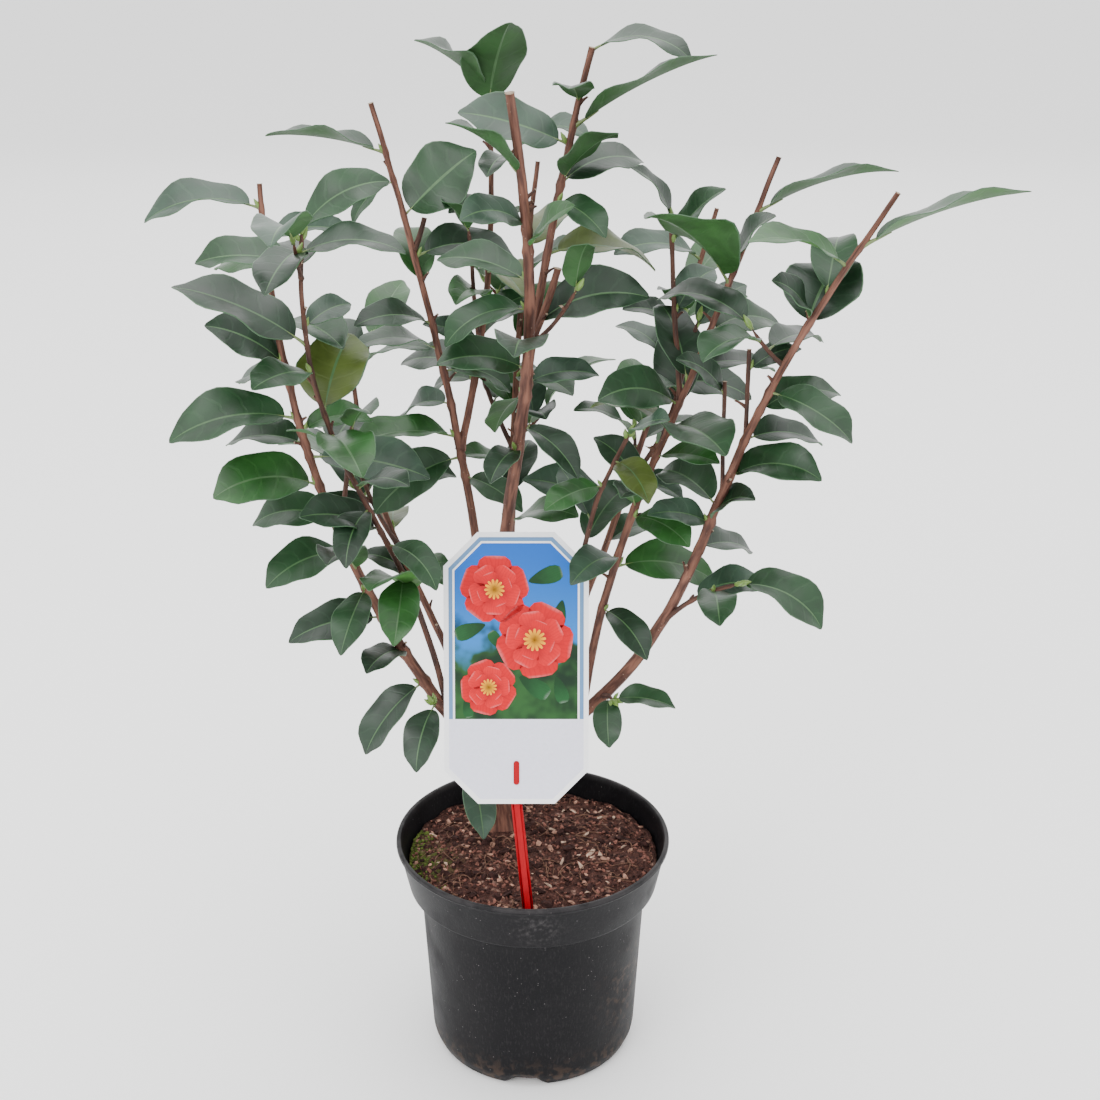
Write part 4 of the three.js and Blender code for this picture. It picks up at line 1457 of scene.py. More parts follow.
@dataclass
class Limbs:
    """The bark of the trunk and of every stem, with its knots, collars and cut ends."""

    facet: float = 4.5
    sides: tuple[int, int] = (12, 8)
    thin: float = 1.8
    spur_every: float = 62.0
    spur: tuple[float, float] = (2.5, 8.0)
    spur_radii: tuple[float, float] = (0.95, 0.6)
    spur_at: tuple[float, float] = (0.2, 0.92)
    spur_rise: tuple[float, float] = (0.5, 1.3)
    knot: float = 0.26
    knot_reach: float = 2.2
    collar: float = 0.4
    collar_reach: float = 5.0
    ridge: float = 0.045
    wander: float = 0.6
    straight_foot: float = 12.0
    cut_radius: float = 1.5
    cut_edge: tuple[float, float] = (0.35, 0.25)
    tip_leaf: float = 0.95
    closing: float = 3.0
    closed: float = 0.75
    trunk_start: float = 0.02
    trunk_sides: int = 28
    trunk_rows: int = 26
    root_lobes: int = 5
    root_lobe: float = 0.14

    def dress(self) -> list[bpy.types.Material]:
        """The limbs' materials, in the order of BarkPart.

        Returns:
            The materials, in the order of their numbers.
        """
        return [
            Bark("bark", (0.22, 0.098, 0.066), (0.066, 0.027, 0.02)).material(),
            Bark("twig_bark", (0.125, 0.055, 0.037), (0.036, 0.017, 0.013)).material(),
            Mottled("cut_wood", (0.42, 0.31, 0.22), 0.8, 0.9, 3.0, 0.55).material(),
        ]

    def blank(self) -> bmesh.types.BMesh:
        """An empty mesh whose points also keep their place on the limb laid straight.

        Returns:
            The empty mesh.
        """
        bm = bmesh.new()
        bm.verts.layers.float_vector.new(STRAIGHTENED)
        return bm

    def tube(
        self, bm: bmesh.types.BMesh, curve: Curve, width: Callable[[float], float],
        knots: Sequence[float], cut: bool,
    ) -> None:
        """Adds one tapering limb with its relief.

        Args:
            bm: The mesh to add to.
            curve: The limb's middle line.
            width: Its radius at a share t.
            knots: The places where leaves leave it.
            cut: Whether its end is cut square, or closes in a point.
        """
        length = curve.length()
        thin = width(0.5) < self.thin
        rows = max(3, round(length / self.facet))
        chord = curve.tip - curve.foot
        flank = BACK if BACK.cross(chord).length > 1 else RIGHT
        number = BarkPart.TWIG.value if thin else BarkPart.BARK.value
        made = ring(bm, self.sides[thin], rows, number)
        layer = bm.verts.layers.float_vector[STRAIGHTENED]
        for vert in made:
            x, y, t = vert.co
            along = t * length
            vert[layer] = (Vector((x, y, 0)) * width(0.5) + UP * (along + chord.x)) * MM
            side, front = flanks(curve.heading(t), flank)
            drift = self.drift(curve, along) * smooth(0, self.straight_foot, along)
            middle = curve.point(t) + drift
            swell = sum(self.knot * bump_at(along, k * length, self.knot_reach) for k in knots)
            swell += self.collar * bump_at(along, 0, self.collar_reach)
            spot = middle + (side * x + front * y) * 3
            rough = noise.noise(Vector((spot.x * 0.9, spot.y * 0.9, spot.z * 0.22)))
            radius = width(t) * (1 + swell + self.ridge * rough)
            if not cut:
                radius *= 1 - self.closed * smooth(1 - self.closing / length, 1, t)
            vert.co = middle + (side * x + front * y) * radius
        if cut:
            self.saw(bm, made, curve)

    def saw(self, bm: bmesh.types.BMesh, made: Sequence[bmesh.types.BMVert], curve: Curve) -> None:
        """Gives a cut limb a pale end with a rounded edge.

        Args:
            bm: The mesh that holds the limb.
            made: The limb's points.
            curve: The limb's middle line.
        """
        ends = {f for v in made for f in v.link_faces if len(f.verts) > 4}
        end = min(ends, key=lambda face: (face.calc_center_median() - curve.tip).length)
        wide, deep = self.cut_edge
        rim = bmesh.ops.inset_region(
            bm, faces=[end], thickness=wide, depth=deep, use_boundary=True, use_even_offset=True
        )
        for face in [end, *rim["faces"]]:
            face.material_index = BarkPart.CUT.value

    def drift(self, curve: Curve, along: float) -> Vector:
        """How far a limb wanders from its middle line at a distance along it.

        Args:
            curve: The limb's middle line.
            along: The distance from its foot.

        Returns:
            The sideways shift.
        """
        seed = curve.foot + curve.tip
        spots = [Vector((along / 26, seed.x * 0.37 + i * 9, seed.z * 0.53)) for i in range(2)]
        return Vector((*map(noise.noise, spots), 0)) * self.wander

    def spurs(self, bm: bmesh.types.BMesh, carrier: Carrier, chance: Chance) -> None:
        """Adds the finest twigs: short dry spurs that stand out from a limb.

        Args:
            bm: The mesh to add to.
            carrier: The stem or branch that bears them.
            chance: What places them.
        """
        width = Grower.taper(carrier.radii)
        for _ in range(round(carrier.curve.length() / self.spur_every)):
            t, turn = chance.between(*self.spur_at), chance.between(0, math.tau)
            rise = chance.between(*self.spur_rise)
            aside = Vector((math.cos(turn), math.sin(turn), rise)).normalized()
            foot = carrier.curve.point(t) + aside * (width(t) * 0.5)
            tip = foot + aside * (width(t) * 0.5 + chance.between(*self.spur))
            self.tube(bm, Curve(foot, tip, UP * 0.5), Grower.taper(self.spur_radii), (), True)

    def is_cut(self, carrier: Carrier) -> bool:
        """Whether a carrier was pruned, and does not end in a bud."""
        grows = any(row[0] >= self.tip_leaf for row in carrier.leaves)
        return carrier.radii[1] >= self.cut_radius or not (grows or carrier.leafy)

    def trunk(self, bm: bmesh.types.BMesh) -> None:
        """Adds the trunk, with its flare, from just inside the compost.

        Args:
            bm: The mesh to add to.
        """
        curve = TRUNK.curve()
        made = ring(bm, self.trunk_sides, self.trunk_rows, BarkPart.BARK.value)
        layer = bm.verts.layers.float_vector[STRAIGHTENED]
        for vert in made:
            x, y, share = vert.co
            out = Vector((x, y, 0))
            t = mix(self.trunk_start, 1, share)
            vert[layer] = (out * TRUNK.radius(0.5) + UP * (share * curve.length())) * MM
            middle = curve.point(t)
            spot = middle + out * 9
            rough = noise.noise(Vector((spot.x * 0.3, spot.y * 0.3, spot.z * 0.07)))
            fine = noise.noise(Vector((spot.x * 0.9, spot.y * 0.9, spot.z * 0.3)))
            lobe = self.root_lobe * math.sin(self.root_lobes * math.atan2(y, x) + 1)
            lobes = 1 + lobe * (1 - smooth(0, 0.3, share))
            radius = TRUNK.radius(t) * lobes * (1 + 0.12 * rough + 0.05 * fine)
            radius *= 1 - 0.35 * smooth(0.93, 1, share)
            vert.co = middle + out * radius

    def build(self, masses: Sequence[Mass]) -> None:
        """Makes the trunk and one bark piece for each stem.

        Args:
            masses: The masses of foliage.
        """
        finishes = self.dress()
        bm = self.blank()
        self.trunk(bm)
        piece(bm, "trunk_bark", finishes, ["trunk"])
        for i, mass in enumerate(masses):
            chance = Chance(313 + i)
            bm = self.blank()
            for carrier in mass.carriers:
                knots = [row[0] for row in carrier.leaves]
                width = Grower.taper(carrier.radii)
                self.tube(bm, carrier.curve, width, knots, self.is_cut(carrier))
                self.spurs(bm, carrier, chance)
            stem = mass.stem
            stands_for = [f"{stem.name}_bough"] if stem.split > 0 else []
            piece(bm, f"{stem.name}_bark", finishes, stands_for)


# ---- Foliage ----

class Tone(Enum):
    """The greens that leaves are dealt, by how common each one is."""

    DARK = 34
    DEEP = 28
    GREY = 20
    FRESH = 14
    OLIVE = 4


@dataclass
class Foliage:
    """The leaf blades, stalks and buds of the masses."""

    rows: int = 18
    columns: tuple[float, ...] = (-1.0, -0.965, -0.52, -0.04, 0.04, 0.52, 0.965, 1.0)
    start: float = 0.1
    thickness: float = 0.5
    full: float = 0.6
    point: tuple[float, float, float] = (0.8, 0.96, 0.34)
    curl: float = 0.16
    wave: float = 0.13
    twist: float = 0.45
    sweep: float = 0.07
    stalk: float = 0.2
    stalk_radii: tuple[float, float] = (1.15, 0.35)
    usual_length: float = 62.0
    nod: float = 0.64
    nod_from: float = 0.75
    weld: float = 0.02
    bud_share: float = 0.45
    bud: tuple[float, float] = (6.0, 8.6)
    bud_width: float = 0.21
    bud_scales: tuple[float, float] = (0.09, 15.0)
    bud_lean: float = 1.2
    seed: int = 977

    # Each green's upper side, its veins and its underside; each underside is a paler green of its
    # own, painted lighter still to stand in for light shining through the leaf.
    GREENS = {
        Tone.DARK: ((0.0065, 0.025, 0.0095), (0.026, 0.07, 0.032), (0.02, 0.07, 0.015)),
        Tone.DEEP: ((0.008, 0.039, 0.0105), (0.03, 0.092, 0.032), (0.025, 0.088, 0.017)),
        Tone.GREY: ((0.02, 0.05, 0.028), (0.055, 0.11, 0.06), (0.032, 0.088, 0.025)),
        Tone.FRESH: ((0.013, 0.07, 0.0105), (0.045, 0.145, 0.034), (0.036, 0.125, 0.018)),
        Tone.OLIVE: ((0.056, 0.082, 0.012), (0.1, 0.14, 0.036), (0.07, 0.11, 0.018)),
    }

    def dress(self) -> list[bpy.types.Material]:
        """The blades' materials: upper sides, midrib and margin, and then the same for below.

        Returns:
            The materials, in the order of their numbers.
        """
        tops, unders = [], []
        for tone, (colour, vein, under) in self.GREENS.items():
            name = f"leaf_{tone.name.lower()}"
            top = BladeFinish(name, colour, vein, roughness=0.38, gloss=0.2)
            pale = shade(under, 1.4)
            # The underside's green is partly painted light: lighter than its own colour, to stand
            # in for light shining through the leaf.
            below = BladeFinish(f"{name}_under", under, pale, roughness=0.55, gloss=0.0)
            tops.append(top.material())
            unders.append(below.material())
        rib = Mottled("leaf_midrib", (0.05, 0.115, 0.042)).material()
        rim = Mottled("leaf_margin", (0.04, 0.1, 0.042)).material()
        return [*tops, rib, rim, *unders, rib, rim]

    def half_width(self, u: float) -> float:
        """The outline: a blade's half-width at a share u of its length, 1 where it is widest.

        Args:
            u: The share of the blade's length.

        Returns:
            The share of the greatest half-width.
        """
        low, high, share = self.point
        body = max(0.0, math.sin(math.pi * u ** 0.92)) ** self.full
        return body * (1 - share * smooth(low, high, u))

    def blade(self, bm: bmesh.types.BMesh, leaf: Leaf, number: int, phase: float) -> None:
        """Adds one leaf blade: folded on its midrib, arched, twisted and curled at its margins.

        Args:
            bm: The mesh to add to.
            leaf: The leaf.
            number: The number of its green.
            phase: Where its margin's waves start, which also sets its twist and sideways sweep.
        """
        greens = len(Tone)
        lines = len(self.columns) - 1
        made = bmesh.ops.create_grid(
            bm, x_segments=lines, y_segments=self.rows, size=1.0, calc_uvs=True
        )["verts"]
        faces = faces_of(made)
        for face in faces:
            column = int((face.calc_center_median().x + 1) / 2 * lines)
            edge, middle = column in (0, lines - 1), column == lines // 2
            face.material_index = greens + 1 if edge else greens if middle else number
        bmesh.ops.reverse_faces(bm, faces=faces)
        widest = leaf.length * leaf.slim
        fold = math.radians(leaf.fold)
        for vert in made:
            side = self.columns[round((vert.co.x + 1) / 2 * lines)]
            share = (vert.co.y + 1) / 2
            u = mix(share, (1 - math.cos(math.pi * share)) / 2, 0.75)
            s = mix(self.start, 1, u)
            point, along, normal, across = leaf.frame(s)
            roll = Matrix.Rotation(self.twist * math.sin(phase * 3) * (u - 0.3), 3, along)
            normal, across = roll @ normal, roll @ across
            point = point + across * (self.sweep * leaf.length * math.sin(phase * 5) * u * u)
            half = widest * self.half_width(u)
            reach = half * side
            out = abs(reach)
            lift = out * math.sin(fold) * (1 - self.curl * 2 * abs(side) * (0.6 + u))
            lift += self.wave * half * side * side * math.sin(phase + u * 11 + (side > 0) * 1.9)
            tip = widest * self.nod * max(0.0, u - self.nod_from) ** 2
            vert.co = point + across * (reach * math.cos(fold)) + normal * (lift - tip)
        bmesh.ops.remove_doubles(bm, verts=made, dist=self.weld)

    def stem_of_leaf(self, bm: bmesh.types.BMesh, leaf: Leaf) -> None:
        """Adds the stalk, which runs on as the midrib under the blade.

        Args:
            bm: The mesh to add to.
            leaf: The leaf.
        """
        for vert in ring(bm, 6, 7):
            x, y, share = vert.co
            s = share * self.stalk
            point, along, normal, across = leaf.frame(s)
            under = self.thickness * 0.8 * smooth(0.06, 0.14, s)
            radius = mix(*self.stalk_radii, share ** 0.7) * leaf.length / self.usual_length
            vert.co = point - normal * under + (across * x + normal * y) * radius

    def bud_at(self, bm: bmesh.types.BMesh, foot: Vector, ahead: Vector, length: float) -> None:
        """Adds one pointed bud of overlapping scales, with the second of the stalks' materials.

        Args:
            bm: The mesh to add to.
            foot: Its base.
            ahead: The unit direction that it points in.
            length: Its length.
        """
        side, front = flanks(ahead, BACK if abs(ahead.y) < 0.9 else RIGHT)
        depth, turns = self.bud_scales
        made = bmesh.ops.create_uvsphere(bm, u_segments=8, v_segments=7, radius=1)["verts"]
        for face in faces_of(made):
            face.material_index = 1
        for vert in made:
            x, y, z = vert.co
            share = (z + 1) / 2
            plump = self.bud_width * (1 - 0.5 * smooth(0.35, 1, share))
            plump = plump * (1 + depth * math.sin(share * turns))
            vert.co = foot + ahead * (share * length) + (side * x + front * y) * (plump * length)

    def buds(self, bm: bmesh.types.BMesh, mass: Mass, limbs: Limbs, chance: Chance) -> None:
        """Adds buds where leaves meet their stem, and at the tips that were not pruned.

        Args:
            bm: The mesh to add to.
            mass: The mass that bears them.
            limbs: The limbs, which know the pruned ends.
            chance: What deals them out.
        """
        for leaf in mass.leaves:
            if chance.share() > self.bud_share:
                continue
            _, along, _, _ = leaf.frame(0)
            lean = (along + UP * self.bud_lean).normalized()
            foot = leaf.base + along * leaf.stem_radius * 0.7
            self.bud_at(bm, foot, lean, chance.between(*self.bud))
        for carrier in mass.carriers:
            if limbs.is_cut(carrier):
                continue
            ahead = carrier.curve.heading(1)
            self.bud_at(bm, carrier.curve.point(0.995), ahead, self.bud[1] + 1.5)
            if carrier is mass.stem:
                for turn in (0.9, 3.4):
                    aside = Vector((math.cos(turn), math.sin(turn), 0))
                    lean = (ahead + aside * 0.45).normalized()
                    self.bud_at(bm, carrier.curve.point(0.985) + aside, lean, self.bud[1])

    def build(self, masses: Sequence[Mass], limbs: Limbs) -> None:
        """Makes the blades of each mass as one piece, and its stalks and buds as another.

        Args:
            masses: The masses of foliage.
            limbs: The limbs, which know the pruned ends.
        """
        blades = self.dress()
        greens = [
            Mottled("leaf_stalk", (0.13, 0.18, 0.06)).material(),
            Mottled("leaf_bud", (0.14, 0.235, 0.05), 0.38, 2.0).material(),
        ]
        weights = [tone.value for tone in Tone]
        for i, mass in enumerate(masses):
            chance = Chance(self.seed + i)
            bm = bmesh.new()
            bm.loops.layers.uv.new("own")
            for leaf in mass.leaves:
                self.blade(bm, leaf, chance.pick(weights), chance.between(0, math.tau))
            name = mass.stem.name
            obj = piece(bm, f"{name}_leaves", blades, [f"{name}_foliage"])
            shell = obj.modifiers.new("thickness", "SOLIDIFY")
            shell.thickness = self.thickness * MM
            shell.offset = -1
            shell.material_offset = len(Tone) + 2
            bm = bmesh.new()
            for leaf in mass.leaves:
                self.stem_of_leaf(bm, leaf)
            self.buds(bm, mass, limbs, chance)
            piece(bm, f"{name}_stalks", greens)


# ---- Pot and compost ----

@dataclass
class Pot:
    """A tapered nursery pot with a deep collar, a rolled lip and low arches round its foot."""

    height: float = 160.0
    rim: float = 95.0
    collar_foot: float = 126.0
    collar_foot_radius: float = 86.5
    wall_top: float = 121.0
    wall_top_radius: float = 78.5
    wall_foot_radius: float = 72.5
    base_radius: float = 68.5
    foot_round: float = 9.0
    wall: float = 2.2
    lip: float = 3.6
    steps: int = 160
    arches: int = 4
    arch_turn: float = -94.0
    arch_width: float = 31.0
    arch_height: float = 6.0
    arch_depth: float = 9.0

    def profile(self) -> list[tuple[float, float]]:
        """The outline of the wall, from the middle underneath, up outside, and down inside.

        Returns:
            The outline's points, as radius and height.
        """
        bead, wall = self.lip, self.wall
        under = [
            (0, 0.8, 0), (self.base_radius - 12, 0.8, 0), (self.base_radius - 10, 0, 0.6),
            (self.base_radius, 0, 2.4), (self.wall_foot_radius, self.foot_round, 3),
        ]
        low, high = (self.wall_foot_radius, self.foot_round), (self.wall_top_radius, self.wall_top)
        wall_rows = [
            (mix(low[0], high[0], t), mix(low[1], high[1], t), 0)
            for t in (0.1, 0.3, 0.5, 0.7, 0.9)
        ]
        rim, top = self.rim, self.height
        collar = [
            (*high, 1.5), (self.collar_foot_radius, self.collar_foot, 1.5),
            (rim - 2.3, top - bead - 1.4, 0.8), (rim - 0.4, top - bead + 0.2, 0.8),
            (rim, top - bead * 0.5, 1.1), (rim - 0.7, top, 0.7),
            (rim - 3.2, top, 0.7), (rim - 2 - wall, top - bead, 1.0),
        ]
        inside = [
            (self.collar_foot_radius - wall, self.collar_foot + 1, 1.5),
            (self.wall_top_radius - wall, self.wall_top + 1, 1.5),
            (self.wall_foot_radius - wall, self.foot_round, 3),
            (self.base_radius - wall - 1, wall + 0.4, 1.5), (0, wall + 0.4, 0),
        ]
        return rounded([*under, *wall_rows, *collar, *inside], 3)

    def build(self) -> None:
        """Makes the pot and lifts its foot into low arches round it."""
        bm = bmesh.new()
        spun(bm, self.profile(), self.steps)
        ceiling, inner = self.foot_round + 4, self.base_radius - self.arch_depth
        for vert in bm.verts:
            radius = math.hypot(vert.co.x, vert.co.y)
            if vert.co.z > ceiling or radius < 1:
                continue
            angle = math.atan2(vert.co.y, vert.co.x) - math.radians(self.arch_turn)
            sector = math.tau / self.arches
            off = abs((angle + sector / 2) % sector - sector / 2) * radius / (self.arch_width / 2)
            arch = self.arch_height * (1 - smooth(0.35, 1.0, off))
            arch *= smooth(inner, inner + 3, radius)
            vert.co.z += arch * max(0.0, 1 - vert.co.z / ceiling)
        piece(bm, "pot_shell", [PotPlastic().material()], ["pot"])


@dataclass(frozen=True)
class Litter:
    """One kind of loose crumb: how many, their least and greatest length, shape and colour."""

    name: str
    count: int
    size: tuple[float, float]
    shape: Vector
    colour: Colour


@dataclass
class CompostBed:
    """The compost that fills the pot, with loose crumbs of bark, pale chips, roots and moss."""

    # Width, length and height of the crumbs as shares of their length, and their colours.
    FLAT, SLIM = Vector((0.62, 1.0, 0.42)), Vector((0.3, 1.0, 0.2))
    DARK, BROWN = (0.036, 0.015, 0.013), (0.195, 0.082, 0.062)
    TAN, PALE = (0.37, 0.2, 0.145), (0.52, 0.36, 0.27)
    FIBRE, MOSS = (0.17, 0.09, 0.062), (0.1, 0.135, 0.028)
    LITTER = (
        Litter("peat_crumbs", 900, (1.4, 5.0), FLAT, DARK),
        Litter("bark_crumbs", 900, (1.2, 4.8), FLAT, BROWN),
        Litter("peat_clods", 65, (6.0, 11.0), FLAT, DARK),
        Litter("bark_chips", 130, (1.6, 7.0), FLAT, TAN),
        Litter("wood_chips", 43, (4.0, 12.0), SLIM, PALE),
    )

    pot: Pot
    level: float = 143.0
    crown: float = 4.0
    ripple: float = 1.2
    gap: float = 3.2
    steps: int = 120
    rings: int = 40
    lump: float = 2.6
    heap_reach: float = 24.0
    spread: float = 0.97
    clear_trunk: float = 17.0
    clear_label: float = 7.0
    label_foot: Vector = Vector((0, -76))
    fibres: int = 130
    tufts: int = 260
    seed: int = 4217

    def edge(self) -> float:
        """The radius at which the surface meets the collar."""
        return mix(self.pot.collar_foot_radius, self.pot.rim - 2, 0.5) - self.gap

    def surface(self, x: float, y: float) -> float:
        """The height of the compost at a point, in millimetres.

        Args:
            x: How far to the right the point lies.
            y: How far back it lies.

        Returns:
            Its height.
        """
        r, angle = math.hypot(x, y) / self.edge(), math.atan2(y, x)
        waves = math.sin(3 * angle + 1) + math.sin(5 * angle + 7 * r)
        plain = self.level + self.crown * (1 - r * r) + self.ripple * waves * r * (1 - 0.5 * r)
        rough = noise.fractal(Vector((x / 13, y / 13, 2.5)), 1.0, 2.1, 5)
        away = math.hypot(x - TRUNK.foot.x, y - TRUNK.foot.y)
        heap = self.crown * 0.5 * bump_at(away, 0, self.heap_reach)
        return plain + self.lump * rough + heap

    def bed(self) -> None:
        """Makes the compost's body, down inside the pot."""
        bm = bmesh.new()
        pot, gap = self.pot, self.gap
        top = [(self.edge() * i / self.rings, self.level) for i in range(self.rings + 1)]
        low = [
            (pot.collar_foot_radius - gap, pot.collar_foot + 2),
            (pot.wall_top_radius - gap, pot.wall_top + 2),
            (pot.wall_foot_radius - gap, pot.foot_round + 1),
            (pot.base_radius - gap, pot.wall + 0.9), (0, pot.wall + 0.9),
        ]
        spun(bm, top + low, self.steps)
        for vert in bm.verts:
            if vert.co.z > self.level - 1:
                vert.co.z = self.surface(vert.co.x, vert.co.y)
        piece(bm, "compost_bed", [Compost().material()], ["soil"])

    def spot(self, chance: Chance) -> Vector:
        """A random point on the compost, clear of the trunk and of the label's stem.

        Args:
            chance: What places it.

        Returns:
            The point, on the surface.
        """
        while True:
            radius = self.edge() * math.sqrt(chance.share()) * self.spread
            angle = chance.between(0, math.tau)
            point = Vector((radius * math.cos(angle), radius * math.sin(angle), 0))
            trunk = (point.xy - TRUNK.foot.xy).length > self.clear_trunk
            if trunk and (point.xy - self.label_foot).length > self.clear_label:
                point.z = self.surface(point.x, point.y)
                return point

    def pebble(
        self, bm: bmesh.types.BMesh, radius: float, dents: tuple[float, float], chance: Chance
    ) -> list[bmesh.types.BMVert]:
        """Adds a small ball with dents.

        Args:
            bm: The mesh to add to.
            radius: Its radius.
            dents: The least and the greatest share of its radius.
            chance: What dents it.

        Returns:
            Its points.
        """
        made = bmesh.ops.create_icosphere(bm, subdivisions=1, radius=radius)["verts"]
        for vert in made:
            vert.co *= chance.between(*dents)
        return made

    def scatter(self, litter: Litter, chance: Chance) -> None:
        """Strews flat crumbs over the compost.

        Args:
            litter: The kind of crumb.
            chance: What places them.
        """
        bm = bmesh.new()
        for _ in range(litter.count):
            place, reach = self.spot(chance), chance.between(*litter.size) / 2
            turn = Matrix.Rotation(chance.between(0, math.tau), 4, "Z")
            tilt = Matrix.Rotation(chance.between(-0.8, 0.8), 4, "X")
            grow = Matrix.Diagonal((*(litter.shape * reach), 1))
            made = self.pebble(bm, 1, (0.6, 1.25), chance)
            lift = Matrix.Translation(place + UP * litter.shape.z * reach * 0.45)
            bmesh.ops.transform(bm, matrix=lift @ turn @ tilt @ grow, verts=made)
        finish = Crumb(litter.name, litter.colour)
        piece(bm, litter.name, [finish.material()], smooth_faces=False)

    def roots(self, name: str, chance: Chance) -> None:
        """Strews thin curved fibres over the compost.

        Args:
            name: The piece's name.
            chance: What places them.
        """
        bm = bmesh.new()
        for _ in range(self.fibres):
            foot, reach = self.spot(chance), chance.between(7, 20)
            angle, bend = chance.between(0, math.tau), chance.between(-4, 4)
            run = Vector((math.cos(angle), math.sin(angle), 0)) * reach
            tip = foot + run
            if math.hypot(tip.x, tip.y) > self.edge() - 2:
                continue
            tip.z = self.surface(tip.x, tip.y)
            curve = Curve(foot, tip, Vector((-run.y, run.x, 0)).normalized() * bend + UP * 1.2)
            thick = chance.between(0.25, 0.5)
            for vert in ring(bm, 4, 5):
                x, y, share = vert.co
                side, over = flanks(curve.heading(share), UP)
                vert.co = curve.point(share) + (side * x + over * y) * thick + UP * 0.3
        piece(bm, name, [Crumb(name, self.FIBRE).material()])

    def moss(self, name: str, chance: Chance) -> None:
        """Grows small tufts of moss against the collar on one side.

        Args:
            name: The piece's name.
            chance: What places it.
        """
        bm = bmesh.new()
        for _ in range(self.tufts):
            angle = chance.between(2.8, 3.9)
            radius = self.edge() * (1 - 0.17 * chance.share() * chance.share() - 0.01)
            x, y = radius * math.cos(angle), radius * math.sin(angle)
            size = chance.between(0.5, 1.5)
            made = self.pebble(bm, size, (0.6, 1.2), chance)
            place = Vector((x, y, self.surface(x, y) + size * 0.2))
            bmesh.ops.translate(bm, vec=place, verts=made)
        piece(bm, name, [Crumb(name, self.MOSS).material()])

    def build(self) -> None:
        """Makes the compost and everything loose on it."""
        chance = Chance(self.seed)
        self.bed()
        for litter in self.LITTER:
            self.scatter(litter, chance)
        self.roots("peat_fibres", chance)
        self.moss("moss", chance)


# ---- Label ----

class Ink(Enum):
    """The material numbers of the label's printed face."""

    BORDER = 0
    LINE = 1
    PANEL = 2
    PICTURE = 3


